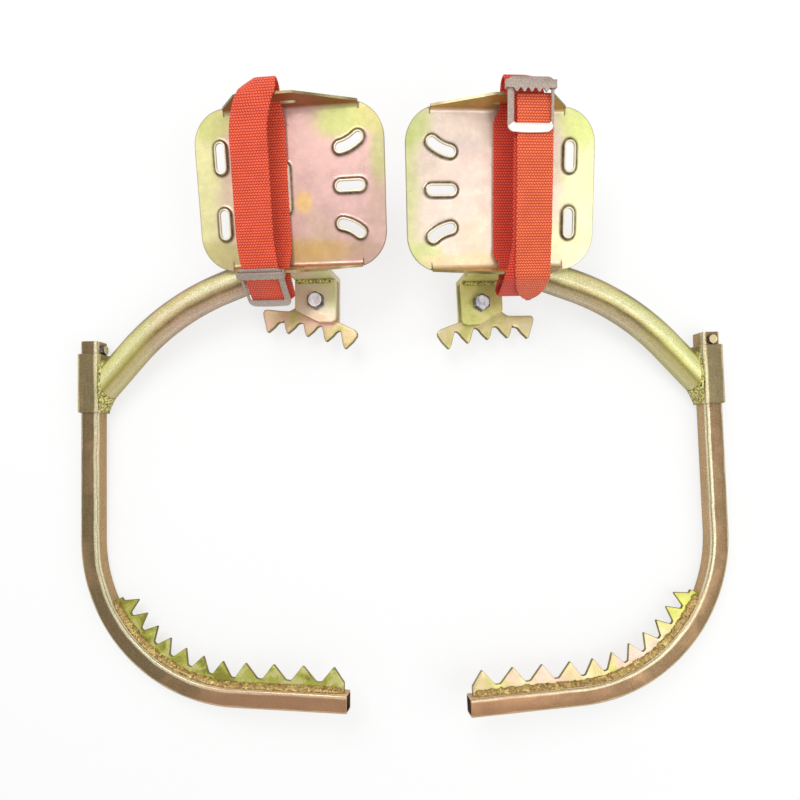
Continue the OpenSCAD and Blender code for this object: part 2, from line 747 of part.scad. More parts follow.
// Toothed bar: lies across the window's far end, its ends wrapped round the side bars
module buckle_bar_form() {
    bar_y = buckle_inner / 2 - 3;
    bar_h = 7;
    step = window / buckle_points;
    half = buckle_width / 2 + buckle_gap;
    top = buckle_sheet + buckle_gap;
    translate([0, bar_y, top]) linear_extrude(buckle_sheet) {
        translate([-half, 0]) square([2 * half, bar_h]);
        for (i = [0:buckle_points - 1]) translate([(i + 0.5) * step - window / 2, 0])
            polygon([[-step / 2, 0.01], [-step / 4, -2.6], [0, -3.4], [step / 4, -2.6],
                     [step / 2, 0.01]]);
    }
    for (side = [-1, 1]) translate([0, bar_y + bar_h, 0]) rotate([90, 0, 0])
        linear_extrude(bar_h) polygon([
            [side * (half - eps), top], [side * (half - eps), -buckle_gap],
            [side * (half - wrap_in), -buckle_gap], [side * (half - wrap_in), -buckle_gap - wrap_t],
            [side * (half + wrap_t), -buckle_gap - wrap_t],
            [side * (half + wrap_t), top + buckle_sheet], [side * (half - eps), top + buckle_sheet]]);
}

// The left buckle lies on the sloped upper run of the hanging loop
module left_buckle_place() {
    to = loop_end(left_hang_out);
    middle = (loop_start + to) / 2;
    slope = atan2(loop_start[1] - to[1], to[0] - loop_start[0]);
    on_pedal() mirror([0, 1, 0])
        translate([left_hang_x, middle[0], middle[1]])
            rotate([-slope, 0, 0]) translate([0, 1.5, strap_thickness / 2 + buckle_lift])
                mirror([0, 1, 0]) children();
}

// Spare end of the right strap: leaves the buckle's window, runs over the near side and hangs
tail_x = -26.5;
tail_step = strap_thickness + strap_rest + 0.1;
tail_top = over_z + 2.6 + tail_step;
tail_run = [[66, tail_top - 0.4], [46, tail_top - 0.1], [0, tail_top + 0.2], [-40, tail_top - 0.3],
    [-flange_lip_y + 8, over_z + 0.7 + tail_step], [-flange_lip_y - 2.5, over_z + tail_step],
    [-flange_lip_y - 8.5, over_z - 2.4], [-flange_lip_y - right_hang_out - 2.5, over_z - 18],
    [-flange_lip_y - right_hang_out - 6, over_z - 24]];

module strap_tail() {
    half = strap_width / 2 - 1;
    color([0.95, 0.38, 0.22]) on_pedal() difference() {
        band(tail_run, tail_x, 2 * half);
        translate([tail_x, 0, -far / 2]) linear_extrude(far)
            polygon([[half + 1, -99], [half - 6, -103.5], [2, -106], [-6, -104],
                     [-half + 4, -95], [-half - 1, -84], [-half - 1, -far], [half + 1, -far]]);
    }
}

// The right buckle lies over the strap and its spare end, at the far folded side
module right_buckle_place() {
    on_pedal() translate([right_upper_x, flange_lip_y - buckle_length / 2 + 12,
                          tail_top + strap_thickness / 2 + buckle_lift])
        children();
}

module buckle_colour() {
    color([0.66, 0.64, 0.60]) children();
}

left_place() pedal();  // left_pedal
left_place() arm_tube();  // left_arm_tube
left_place() sleeve();  // left_sleeve
left_place() sleeve_bead();  // left_sleeve_weld
left_place() pedal_beads();  // left_pedal_weld
left_place() claw_bracket();  // left_claw_bracket
left_place() bracket_bead();  // left_bracket_weld
left_place() claw(left_claw_turn);  // left_claw
left_place() claw_bolt();  // left_claw_bolt
left_place() claw_nut();  // left_claw_nut
left_place() claw_spacers();  // left_claw_spacers
left_place() hook_tube_part("in");  // left_hook_tube
left_place() hook_teeth();  // left_hook_teeth
left_place() hook_bead();  // left_hook_weld
left_place() stop_bolt("in");  // left_stop_bolt
left_place() stop_nut_part("in");  // left_stop_nut
left_place() strap(left_lower_x, left_upper_x, left_loop_x, left_hang_x, left_hang_out,  // left_strap
                       left_far_out);
left_place() buckle_colour() left_buckle_place() buckle_frame_form();  // left_buckle_frame
left_place() buckle_colour() left_buckle_place() buckle_bar_form();  // left_buckle_bar

right_place() pedal();  // right_pedal
right_place() arm_tube();  // right_arm_tube
right_place() sleeve();  // right_sleeve
right_place() sleeve_bead();  // right_sleeve_weld
right_place() pedal_beads();  // right_pedal_weld
right_place() claw_bracket();  // right_claw_bracket
right_place() bracket_bead();  // right_bracket_weld
right_place() claw(right_claw_turn);  // right_claw
right_place() claw_bolt();  // right_claw_bolt
right_place() claw_nut();  // right_claw_nut
right_place() claw_spacers();  // right_claw_spacers
right_place() hook_tube_part("up");  // right_hook_tube
right_place() hook_teeth();  // right_hook_teeth
right_place() hook_bead();  // right_hook_weld
right_place() stop_bolt("up");  // right_stop_bolt
right_place() stop_nut_part("up");  // right_stop_nut
right_place() strap(right_lower_x, right_upper_x, right_loop_x, right_hang_x,  // right_strap
                        right_hang_out, right_far_out);
right_place() strap_tail();  // right_strap_tail
right_place() buckle_colour() right_buckle_place() buckle_frame_form();  // right_buckle_frame
right_place() buckle_colour() right_buckle_place() buckle_bar_form();  // right_buckle_bar
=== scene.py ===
"""Pair of pole climbers: the finished visual model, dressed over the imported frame."""

import math

import bpy
import numpy as np
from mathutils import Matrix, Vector
from mathutils.geometry import delaunay_2d_cdt


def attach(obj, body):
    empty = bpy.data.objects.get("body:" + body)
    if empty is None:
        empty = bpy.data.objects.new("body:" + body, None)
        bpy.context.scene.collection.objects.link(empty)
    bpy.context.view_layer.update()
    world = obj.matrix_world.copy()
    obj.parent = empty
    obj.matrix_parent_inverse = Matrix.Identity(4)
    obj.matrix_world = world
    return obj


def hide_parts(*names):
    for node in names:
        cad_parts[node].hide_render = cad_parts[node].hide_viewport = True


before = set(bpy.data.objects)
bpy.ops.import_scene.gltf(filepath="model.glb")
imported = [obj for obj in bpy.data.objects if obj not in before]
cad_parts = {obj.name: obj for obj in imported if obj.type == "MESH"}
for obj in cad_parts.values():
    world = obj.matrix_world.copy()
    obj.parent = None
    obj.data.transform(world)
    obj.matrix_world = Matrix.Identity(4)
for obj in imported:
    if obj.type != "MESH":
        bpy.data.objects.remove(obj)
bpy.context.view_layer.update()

SIDES = ("left", "right")
MM = 0.001
# Signs of a square's corners, turning left
CORNERS = ((1, 1), (-1, 1), (-1, -1), (1, -1))

# Sizes in millimetres, in one climber's own frame: the sleeve stands along Y at the origin
TUBE, TUBE_WALL, TUBE_CORNER, BORE_CORNER = 20.0, 2.0, 3.0, 1.0
LEG, BEND, TIP = 135.0, 160.0, 119.0
TUBE_TOP = 75.5
SLEEVE, SLEEVE_CORNER, SLEEVE_LENGTH = 25.0, 3.5, 62.0
SLEEVE_BORE, SLEEVE_BORE_CORNER = 21.0, 1.2
ARM, ARM_WALL, ARM_RADIUS = 32.0, 2.5, 255.0
ARM_STEEP, ARM_FLAT = math.radians(47), math.radians(20)
ARM_LOWER, ARM_UNDER = 48.0, 124.0
BOLT_X, BOLT_Y, BOLT_R, BOLT_PLAY = 240.0, 117.0, 5.0, 0.08
BOLT_FLATS, BOLT_HEAD, BOLT_NUT, BOLT_SPARE, WASHER = 16.0, 6.4, 8.4, 1.5, 1.0
STOP_R, STOP_FLATS, STOP_HEAD, STOP_SHANK, STOP_UP = 3.0, 10.0, 4.0, 8.5, 5.3
BRACKET_T, BRACKET_GAP = 5.0, 12.0
PLATE_T, STRIP_T, CLAW_T = 2.5, 4.0, 6.0
LEG_TOP = -ARM / 2
CLAW_MIDDLE = LEG_TOP - BRACKET_T - BRACKET_GAP / 2
BOLT_END = LEG_TOP - 2 * BRACKET_T - BRACKET_GAP - WASHER - BOLT_NUT - BOLT_SPARE
CLAW_TURN = {"left": -12.6, "right": -5.6}

# Pedal, in its own frame: origin in the middle of its top face
PEDAL_TILT, PEDAL_X, PEDAL_AHEAD, PEDAL_LIFT = 11.5, 231.0, 24.0, 1.0
PEDAL_HALF_LONG, PEDAL_HALF_WIDE, PEDAL_CORNER, PEDAL_SHIFT = 94.0, 76.0, 34.0, -4.0
FOLD_Y, FOLD_R, WALL_RUN = 69.5, 4.0, 23.0
SPLAY = math.radians(12)
FOLD_ARC = (math.pi / 2 - SPLAY) * FOLD_R
FLANGE_HALF, FLANGE_TOP_LEFT, FLANGE_TOP_RIGHT = 66.0, -47.3, 9.8
SLOT_HALF, RIM_HALF, RIM_UP = 4.2, 9.2, 2.4

# Webbing, and the height of its slots up the folded sides
STRAP_W, STRAP_T, TAIL_W, SLOT_UP = 37.0, 2.0, 35.0, 7.0

# The pair on the floor: half the distance between the sleeves, both climbers' shift along Y,
# the pair's along X, the right climber's own along Y and its turn in degrees. A hook touches
# the floor this far past its leg, where its drop is a share of the tube's step in the sleeve
HALF_APART, BOTH_Y, PAIR_X, RIGHT_Y, RIGHT_TURN = 329.0, 1.8, -2.6, 12.2, -3.3
PAST_LEG, DROP_SHARE = 10.0, 1.07


# Placing

def shift(x, y, z):
    m = np.eye(4)
    m[:3, 3] = (x, y, z)
    return m


def turn(axis, degrees):
    c, s = math.cos(math.radians(degrees)), math.sin(math.radians(degrees))
    i, j = {"x": (1, 2), "y": (2, 0), "z": (0, 1)}[axis]
    m = np.eye(4)
    m[i, i], m[j, j], m[i, j], m[j, i] = c, c, -s, s
    return m


def flip(x, y, z):
    return np.diag([x, y, z, 1.0])


def lying(turned):
    """A climber on the floor: pitched by its thin hook, leaned on its claw bolt's end."""
    low = SLEEVE / 2 - SLEEVE_CORNER
    drop, reach = DROP_SHARE * (SLEEVE - TUBE) / 2, LEG + PAST_LEG
    pitch = math.atan(drop / reach)
    span_x = BOLT_X - BOLT_R + low
    span_z = -BOLT_END - BOLT_Y * math.tan(pitch) - low
    lean = math.atan2(span_z, span_x) - math.asin(SLEEVE_CORNER / math.hypot(span_x, span_z))
    lift = low * (math.sin(lean) + math.cos(lean)) + SLEEVE_CORNER
    return (shift(-HALF_APART, BOTH_Y, lift) @ turn("z", turned)
            @ turn("x", math.degrees(pitch)) @ turn("y", -math.degrees(lean)))


CLIMBER = {
    "left": shift(PAIR_X, 0, 0) @ lying(0),
    "right": shift(PAIR_X, RIGHT_Y, 0) @ flip(-1, 1, 1) @ lying(RIGHT_TURN),
}
TILT = math.radians(PEDAL_TILT)
ON_PEDAL = shift(PEDAL_X, BOLT_Y + PEDAL_AHEAD + PEDAL_HALF_WIDE * math.cos(TILT),
                 ARM / 2 + PEDAL_LIFT + PLATE_T + PEDAL_HALF_WIDE * math.sin(TILT)
                 ) @ turn("x", PEDAL_TILT)


def put(side, name, points, faces, materials, place=np.eye(4), uv=None, sharp=32.0,
        face_material=None, marks=None, closed=True):
    """A finished mesh: points in mm through the piece's place and its climber's, with one list
    of UV corners for each face. Faces are turned round where a closed form's signed volume, or
    an open sheet's mirroring, is negative."""
    matrix = CLIMBER[side] @ place
    xyz = (np.asarray(points, float) @ matrix[:3, :3].T + matrix[:3, 3]) * MM
    faces = [list(f) for f in faces]
    if closed:
        corners = np.array([(f[0], f[k], f[k + 1]) for f in faces for k in range(1, len(f) - 1)])
        a, b, c = (xyz[corners[:, k]] for k in range(3))
        backwards = np.einsum("ij,ij->", a, np.cross(b, c)) < 0
    else:
        backwards = np.linalg.det(matrix[:3, :3]) < 0
    way = -1 if backwards else 1
    mesh = bpy.data.meshes.new(side + "_" + name)
    mesh.from_pydata(xyz.tolist(), [], [f[::way] for f in faces])
    if uv is not None:
        corners = np.concatenate([np.asarray(face, float)[::way] for face in uv])
        mesh.uv_layers.new(name="UVMap").data.foreach_set("uv", corners.ravel())
    for key, values in (marks or {}).items():
        attribute = mesh.attributes.new(key, "FLOAT", "POINT")
        attribute.data.foreach_set("value", np.asarray(values, float))
    for material in materials:
        mesh.materials.append(material)
    if face_material is not None:
        mesh.polygons.foreach_set("material_index", np.asarray(face_material, int))
    mesh.shade_smooth()
    if sharp is not None:
        mesh.set_sharp_from_angle(angle=math.radians(sharp))
    mesh.update()
    obj = bpy.data.objects.new(side + "_" + name, mesh)
    bpy.context.scene.collection.objects.link(obj)
    return obj


def thickened(obj, thickness, even=True, edge=None):
    """An open sheet grown downwards, and its edges eased, both applied; its last material goes
    on the cut sides and the eased edges."""
    rim = len(obj.data.materials) - 1
    wall = obj.modifiers.new("wall", "SOLIDIFY")
    wall.thickness = thickness * MM
    wall.offset = -1
    wall.use_even_offset = even
    wall.material_offset_rim = rim
    if edge is not None:
        ease = obj.modifiers.new("ease", "BEVEL")
        ease.width = edge * MM
        ease.segments = 2
        ease.limit_method = "ANGLE"
        ease.angle_limit = math.radians(35)
        ease.material = rim
    ready = obj.evaluated_get(bpy.context.evaluated_depsgraph_get())
    mesh = bpy.data.meshes.new_from_object(ready)
    obj.modifiers.clear()
    obj.data = mesh
    mesh.shade_smooth()
    mesh.set_sharp_from_angle(angle=math.radians(40))
    return obj


# Curves, profiles and grids

def unit(vectors):
    return vectors / np.linalg.norm(vectors, axis=-1, keepdims=True)


def run_of(points):
    """Length so far at each point of a chain."""
    return np.r_[0, np.cumsum(np.linalg.norm(np.diff(points, axis=0), axis=1))]


def polar(radius, angles):
    """Points at one distance from the origin."""
    return np.stack([radius * np.cos(angles), radius * np.sin(angles)], -1)


def circle(radius, count=48):
    return polar(radius, np.arange(count) * 2 * math.pi / count)


def rounded_square(width, corner):
    """Outline of a square with round corners, from the middle of its +X side, turning left."""
    half = width / 2 - corner
    out = []
    for k, (sx, sy) in enumerate(CORNERS):
        a = (k + np.linspace(0, 1, 6)) * math.pi / 2
        out += [polar(width / 2, a[:1]), polar(corner, a) + (sx * half, sy * half)]
    return np.vstack(out)


def round_box(width, height, radius):
    """Closed rectangle with round corners, with the same number of points whatever its size."""
    middles = np.array(CORNERS) * (width / 2 - radius, height / 2 - radius)
    t = np.linspace(0, 1, 10)[1:-1, None]
    out = []
    for k in range(4):
        a = (k + np.linspace(0, 1, 8)) * math.pi / 2
        bend = polar(radius, a) + middles[k]
        ahead = polar(radius, a[-1]) + middles[(k + 1) % 4]
        out += [bend, bend[-1] * (1 - t) + ahead * t]
    return np.vstack(out)


def smooth_path(points, step, closed):
    """A cubic curve through the points, with a station about every step; its slope at a point is
    half the way from the point before it to the one after."""
    p = np.asarray(points, float)
    if closed:
        p = np.vstack([p[-1:], p, p[:2]])
    else:
        p = np.vstack([2 * p[:1] - p[1:2], p, 2 * p[-1:] - p[-2:-1]])
    parts = []
    for a, b, c, d in zip(p, p[1:], p[2:], p[3:]):
        count = max(2, int(round(np.linalg.norm(c - b) / step)))
        t = (np.arange(count) / count)[:, None]
        parts.append(0.5 * (2 * b + (c - a) * t + (2 * a - 5 * b + 4 * c - d) * t ** 2
                            + (3 * b - a - 3 * c + d) * t ** 3))
    if not closed:
        parts.append(p[-2:-1])
    return np.vstack(parts)


def grid(rows, columns, closed=True):
    """Quads of a grid whose columns close and whose rows may, and each corner's place in it,
    counted without wrapping."""
    r, c = np.meshgrid(np.arange(rows if closed else rows - 1), np.arange(columns),
                       indexing="ij")
    r, c = r.ravel(), c.ravel()
    corner_r = np.stack([r, r, r + 1, r + 1], 1)
    corner_c = np.stack([c, c + 1, c + 1, c], 1)
    faces = (corner_r % rows) * columns + corner_c % columns
    return faces, corner_r, corner_c


def grid_uv(corner_r, corner_c, across, along):
    """UV of each face corner from one list for the columns and one for the rows."""
    return np.stack([np.asarray(across)[corner_c], np.asarray(along)[corner_r]], -1)


def capped(rows, columns):
    """Quads of an open tube of points and a face over each end."""
    faces = grid(rows, columns, False)[0].tolist()
    first = list(range(columns))[::-1]
    last = [(rows - 1) * columns + k for k in range(columns)]
    return [*faces, first, last]


def swept(profile, centres, left):
    """A profile carried along a flat path: its X goes to the left and its Y up at each station."""
    return centres[:, None] + left[:, None] * profile[:, :1] + profile[:, 1:] * (0, 0, 1)


def pipe(side, name, path, outer, inner, plating, edge=0.5, cut_x=None):
    """A tube with a wall: its outer profile goes along the path and its inner one comes back,
    with a small chamfer at both ends; U runs round the profile and V along it in metres. cut_x
    moves the first ends along the tube's heading onto a plane of one X."""
    ahead = unit(np.gradient(path, axis=0))
    left = np.stack([-ahead[:, 1], ahead[:, 0], np.zeros(len(path))], 1)
    out = swept(outer, path, left)
    back = swept(inner, path, left)[::-1]
    eased = outer - unit(outer - inner) * edge
    first, last = swept(eased, path[:1], left[:1]), swept(eased, path[-1:], left[-1:])
    step, stop = unit(path[1] - path[0]), unit(path[-1] - path[-2])
    if cut_x is not None:
        for row in (first[0], out[0], back[-1]):
            row += step * ((cut_x - row[:, :1]) / step[0])
    out[0] += step * edge
    out[-1] -= stop * edge
    rows = np.concatenate([first, out, last, back])
    run = run_of(path)
    along = np.r_[run[0], run, run[-1], run[::-1], run[0]] * MM
    round_outer = run_of(np.vstack([outer, outer[:1]]))
    faces, cr, cc = grid(len(rows), len(outer))
    bore = (cr[:, 0] > len(path) + 1) & (cr[:, 0] < len(rows) - 1)
    return put(side, name, rows.reshape(-1, 3), faces, [plating, BORE], sharp=38,
               uv=grid_uv(cr, cc, round_outer / round_outer[-1], along), face_material=bore)


def lumps(shape, seed, passes):
    """Smooth random hills on a grid that closes in its columns: noise, averaged a few times."""
    rng = np.random.default_rng(seed)
    field = rng.normal(size=shape)
    for _ in range(passes):
        field = (field + np.roll(field, 1, 1) + np.roll(field, -1, 1)
                 + np.vstack([field[:1], field[:-1]]) + np.vstack([field[1:], field[-1:]])) / 5
    return field / np.abs(field).max()


# Flat sheet metal

def resampled(points, step):
    """A closed outline with a point at least every step."""
    out = []
    for a, b in zip(points, np.roll(points, -1, 0)):
        n = max(1, int(math.ceil(np.linalg.norm(b - a) / step)))
        out.append(a + (b - a) * (np.arange(n) / n)[:, None])
    return np.vstack(out)


def inside(points, outline):
    """Even-odd test of points against a closed outline."""
    x, y = points[:, :1], points[:, 1:2]
    a, b = outline, np.roll(outline, -1, 0)
    crosses = (a[:, 1] > y) != (b[:, 1] > y)
    drop = np.where(b[:, 1] == a[:, 1], 1.0, b[:, 1] - a[:, 1])
    at = a[:, 0] + (y - a[:, 1]) / drop * (b[:, 0] - a[:, 0])
    return (np.sum(crosses & (x < at), axis=1) % 2) == 1


def distance_to(points, line, closed=False):
    """Distance of points from a chain of segments."""
    a = line if closed else line[:-1]
    b = np.roll(line, -1, 0) if closed else line[1:]
    d = b - a
    t = np.einsum("pqk,qk->pq", points[:, None] - a[None], d) / np.maximum((d ** 2).sum(1), 1e-9)
    near = a[None] + np.clip(t, 0, 1)[..., None] * d[None]
    return np.linalg.norm(points[:, None] - near, axis=2).min(1)


def blank(outline, holes, step, rings=(), keep_off=()):
    """Triangles of a flat blank: its outline, its holes, extra rings of points and a grid
    between them; keep_off holds (chain, distance) pairs that the grid stays away from."""
    loops = [outline, *holes]

    def on_sheet(points):
        return inside(points, outline) & ~np.any([inside(points, h) for h in holes], axis=0)

    def to_edge(points):
        return np.min([distance_to(points, loop, True) for loop in loops], axis=0)

    low, high = outline.min(0), outline.max(0)
    gx, gy = np.meshgrid(np.arange(low[0] + step / 2, high[0], step),
                         np.arange(low[1] + step / 2, high[1], step), indexing="ij")
    gx = gx + (np.arange(gx.shape[1]) % 2)[None, :] * step / 2
    fill = np.stack([gx.ravel(), gy.ravel()], 1)
    fill = fill[on_sheet(fill)]
    fill = fill[to_edge(fill) > 0.4 * step]
    for chain, off in keep_off:
        fill = fill[distance_to(fill, chain) > off]
    edges, start = [], 0
    for loop in loops:
        index = np.arange(len(loop)) + start
        edges.append(np.stack([index, np.roll(index, -1)], 1))
        start += len(loop)
    points = np.vstack([*loops, *rings, fill])
    made = delaunay_2d_cdt([Vector(p) for p in points.tolist()], np.vstack(edges).tolist(), [],
                           0, 1e-5)
    flat = np.array([tuple(p) for p in made[0]])
    triangles = np.array([f for f in made[2] if len(f) == 3])
    triangles = triangles[on_sheet(flat[triangles].mean(1))]
    a, b, c = (flat[triangles[:, k]] for k in range(3))
    area = (b[:, 0] - a[:, 0]) * (c[:, 1] - a[:, 1]) - (b[:, 1] - a[:, 1]) * (c[:, 0] - a[:, 0])
    triangles[area < 0] = triangles[area < 0][:, ::-1]
    longest = np.max([np.linalg.norm(q - p, axis=1) for p, q in ((a, b), (b, c), (c, a))], axis=0)
    on_edge = to_edge(flat) < 1e-3
    sliver = on_edge[triangles].all(1) & (np.abs(area) / longest < 0.05)
    used, index = np.unique(triangles[~sliver], return_inverse=True)
    return flat[used], index.reshape(-1, 3)


def cut_plate(side, name, outline, top, thickness, materials, edge, step, place=np.eye(4),
              holes=()):
    """A plate cut from an outline with holes, downwards from its top, with eased edges."""
    flat, triangles = blank(outline, holes, step)
    points = np.c_[flat, np.full(len(flat), top)]
    sheet = put(side, name, points, triangles, materials, place=place, uv=flat[triangles] * MM,
                closed=False)
    return thickened(sheet, thickness, edge=edge)


# Finishes

def tone(red, green, blue):
    """An sRGB colour, 0 to 255, as the linear colour that a shader takes."""
    c = np.array([red, green, blue]) / 255
    linear = np.where(c <= 0.04045, c / 12.92, ((c + 0.055) / 1.055) ** 2.4)
    return (*[float(v) for v in linear], 1.0)


def feed(tree, node, inputs):
    """Links or sets a node's inputs, which are given by place or by name."""
    for key, value in inputs.items() if isinstance(inputs, dict) else enumerate(inputs):
        if isinstance(value, bpy.types.NodeSocket):
            tree.links.new(value, node.inputs[key])
        else:
            node.inputs[key].default_value = value
    return node


def add_node(tree, kind, inputs=(), **settings):
    """A new shader node: its settings first and then its inputs."""
    node = tree.nodes.new("ShaderNode" + kind)
    for key, value in settings.items():
        setattr(node, key, value)
    return feed(tree, node, inputs)


class Finish:
    """A material under construction, with short names for the nodes that it is made of."""

    def __init__(self, name, metallic):
        self.material = bpy.data.materials.new(name)
        self.material.use_nodes = True
        self.tree = self.material.node_tree
        self.shader = self.tree.nodes["Principled BSDF"]
        feed(self.tree, self.shader, {"Metallic": metallic})
        self.where = self.node("TexCoord").outputs

    def node(self, kind, inputs=(), **settings):
        return add_node(self.tree, kind, inputs, **settings)

    def noise(self, scale, detail=3.0, distortion=0.0, vector=None, rough=0.55):
        inputs = {"Vector": vector or self.where["Object"], "Scale": scale, "Detail": detail,
                  "Roughness": rough, "Distortion": distortion}
        return self.node("TexNoise", inputs).outputs["Fac"]

    def grain(self):
        """Fine speckle and soft clouds that passivated zinc shows, as two values."""
        return self.noise(1680.0, 2.0), self.noise(60.0, 4.0)

    def math(self, operation, *values):
        return self.node("Math", values, operation=operation).outputs[0]

    def astray(self, value, noise, width):
        """The value, moved by up to half the width either way as the noise goes."""
        return self.math("ADD", value, self.math("MULTIPLY_ADD", noise, width, -width / 2))

    def span(self, value, low, high, to_low=0.0, to_high=1.0):
        inputs = (value, low, high, to_low, to_high)
        return self.node("MapRange", inputs, interpolation_type="SMOOTHSTEP").outputs[0]

    def ramp(self, value, stops, interpolation="EASE"):
        """A colour ramp, its stops given as place, red, green and blue."""
        node = self.node("ValToRGB", (value,))
        node.color_ramp.interpolation = interpolation
        elements = node.color_ramp.elements
        while len(elements) < len(stops):
            elements.new(0.5)
        for element, (place, *paint) in zip(elements, stops):
            element.position = place
            element.color = tone(*paint)
        return node.outputs[0]

    def mix(self, factor, a, b, blend="MIX"):
        inputs = {"Factor": factor, "A": a, "B": b}
        return self.node("Mix", inputs, data_type="RGBA", blend_type=blend).outputs["Result"]

    def dim(self, colour, value, low, high, dark, light):
        """The colour times a grey, which goes from dark to light as the value rises."""
        return self.mix(1.0, colour, self.span(value, low, high, dark, light), "MULTIPLY")

    def split(self, vector):
        return self.node("SeparateXYZ", (vector,)).outputs

    def mark(self, name):
        return self.node("Attribute", attribute_name=name).outputs["Fac"]

    def spot(self, vector, middle, size, wobble):
        """How near a point of the vector lies to the middle of an oval in mm, from 0 to 1."""
        inputs = {"Vector": vector, "Scale": (1 / MM / size[0], 1 / MM / size[1], 0),
                  "Location": (-middle[0] / size[0], -middle[1] / size[1], 0)}
        scaled = self.node("Mapping", inputs).outputs[0]
        length = self.node("VectorMath", (scaled,), operation="LENGTH").outputs["Value"]
        return self.span(self.astray(length, wobble, 0.7), 1.15, 0.45)

    def bumpy(self, height, distance, strength=1.0, under=None):
        inputs = {"Strength": strength, "Distance": distance, "Height": height}
        if under is not None:
            inputs["Normal"] = under
        return self.node("Bump", inputs).outputs[0]

    def done(self, colour, roughness, normal):
        inputs = {"Base Color": colour, "Roughness": roughness, "Normal": normal}
        feed(self.tree, self.shader, inputs)
        return self.material


def plated(name, stops, metallic=0.55, roughness=0.36, speck=0.12, scale=26.0, ahead=None):
    """Yellow passivated zinc: a few tones that drift into each other over the metal, a fine
    darker speckle, shallow dents and uneven gloss; ahead tints what lies beyond a Y."""
    finish = Finish(name, metallic)
    drift = finish.noise(scale, 4.0, 0.8)
    colour = finish.ramp(drift, stops)
    if ahead is not None:
        start, end, paint = ahead
        there = finish.astray(finish.split(finish.where["Object"])[1], drift, 0.06)
        colour = finish.mix(finish.span(there, start, end, 0.0, 0.9), colour, tone(*paint))
    fine, soft = finish.grain()
    colour = finish.dim(colour, fine, 0.42, 0.62, 1.0 - speck, 1.0)
    gloss = finish.span(soft, 0.3, 0.7, roughness - 0.08, roughness + 0.1)
    return finish.done(colour, gloss, finish.bumpy(finish.noise(260.0, 3.0), 0.00012))


# Tones of the pedal's plate, and the painted shade on its folded sides: place along the noise,
# red, green and blue
PEDAL_BASE = {
    "left": [(0.30, 238, 194, 184), (0.50, 232, 190, 180), (0.68, 224, 190, 168)],
    "right": [(0.30, 248, 222, 206), (0.50, 244, 222, 204), (0.70, 238, 220, 190)],
}
FLANGE_SHADE_TONES = {
    "left": [(0.3, 176, 112, 72), (0.6, 160, 98, 60), (0.8, 150, 110, 66)],
    "right": [(0.3, 200, 154, 76), (0.6, 184, 142, 74), (0.8, 150, 122, 66)],
}
# Middle, half sizes, colour and strength of each oval, in millimetres on the flat blank
PEDAL_SPOTS = {
    "left": [
        ((-92, 10), (26, 90), (250, 246, 176), 0.9),
        ((-60, -20), (24, 50), (250, 226, 192), 0.8),
        ((50, 60), (34, 20), (200, 212, 116), 0.8),
        ((86, 30), (12, 44), (196, 200, 124), 0.75),
        ((78, 62), (18, 20), (214, 206, 130), 0.8),
        ((9, -14), (11, 13), (246, 206, 120), 0.8),
        ((-5, -58), (60, 16), (222, 186, 120), 0.85),
        ((30, -60), (40, 12), (228, 184, 116), 0.6),
        ((84, -20), (14, 34), (214, 180, 160), 0.6),
        ((70, -62), (24, 16), (206, 170, 148), 0.7),
        ((-80, -62), (36, 18), (214, 204, 132), 0.8),
        ((-78, 62), (26, 20), (206, 214, 116), 0.7),
    ],
    "right": [
        ((92, 0), (18, 80), (212, 216, 146), 0.8),
        ((84, 58), (22, 26), (202, 212, 126), 0.8),
        ((76, -62), (24, 18), (206, 214, 130), 0.8),
        ((72, 22), (14, 12), (226, 208, 186), 0.6),
        ((-88, 0), (30, 90), (252, 250, 190), 0.9),
        ((-84, 60), (30, 26), (236, 244, 150), 0.9),
        ((-72, -50), (34, 26), (246, 240, 186), 0.8),
        ((30, -66), (60, 9), (240, 214, 168), 0.8),
        ((36, 40), (20, 12), (226, 206, 196), 0.6),
    ],
}


def pedal_finish(side):
    """Rainbow zinc on the pedal: broad ovals of lime, cream, pink and orange over the base, laid
    out on the flat blank, with painted shade round the pressed rims and on the folded sides and a
    painted highlight on each rim's lip."""
    finish = Finish(side + "_pedal_rainbow", 0.42)
    sheet = finish.where["UV"]
    wobble = finish.noise(16.0, 3.0, 0.4, sheet)
    colour = finish.ramp(finish.noise(11.0, 3.0, 0.6, sheet), PEDAL_BASE[side])
    for middle, size, paint, strength in PEDAL_SPOTS[side]:
        amount = finish.math("MULTIPLY", finish.spot(sheet, middle, size, wobble), strength)
        colour = finish.mix(amount, colour, tone(*paint))
    fine, soft = finish.grain()
    colour = finish.dim(colour, finish.noise(150.0, 4.0, 0.2), 0.35, 0.7, 0.94, 1.04)
    colour = finish.dim(colour, fine, 0.40, 0.60, 0.90, 1.0)
    # Painted shade on the slopes of the pressed rims, uneven along them, and a painted highlight
    # on their lips
    uneven = finish.span(finish.noise(220.0, 3.0), 0.3, 0.7, 0.75, 1.0)
    rim = finish.math("MULTIPLY", finish.mark("rim"), uneven)
    colour = finish.mix(rim, colour, tone(84, 68, 38))
    colour = finish.mix(finish.mark("lip"), colour, tone(250, 240, 205))
    # Painted shade on the folded sides, darker than the plate
    inner = finish.ramp(finish.noise(40.0, 3.0, 0.5, sheet), FLANGE_SHADE_TONES[side])
    colour = finish.mix(finish.mark("wall"), colour, inner)
    # A dark line along the plate's outline: painted shade at its edges
    edge = finish.math("POWER", finish.mark("edge"), 2.2)
    colour = finish.mix(finish.math("MULTIPLY", edge, 0.92), colour, tone(104, 88, 50))
    normal = finish.bumpy(finish.noise(90.0, 3.0), 0.0001)
    normal = finish.bumpy(finish.noise(900.0, 2.0), 0.00004, 0.6, normal)
    return finish.done(colour, finish.span(soft, 0.3, 0.7, 0.27, 0.42), normal)


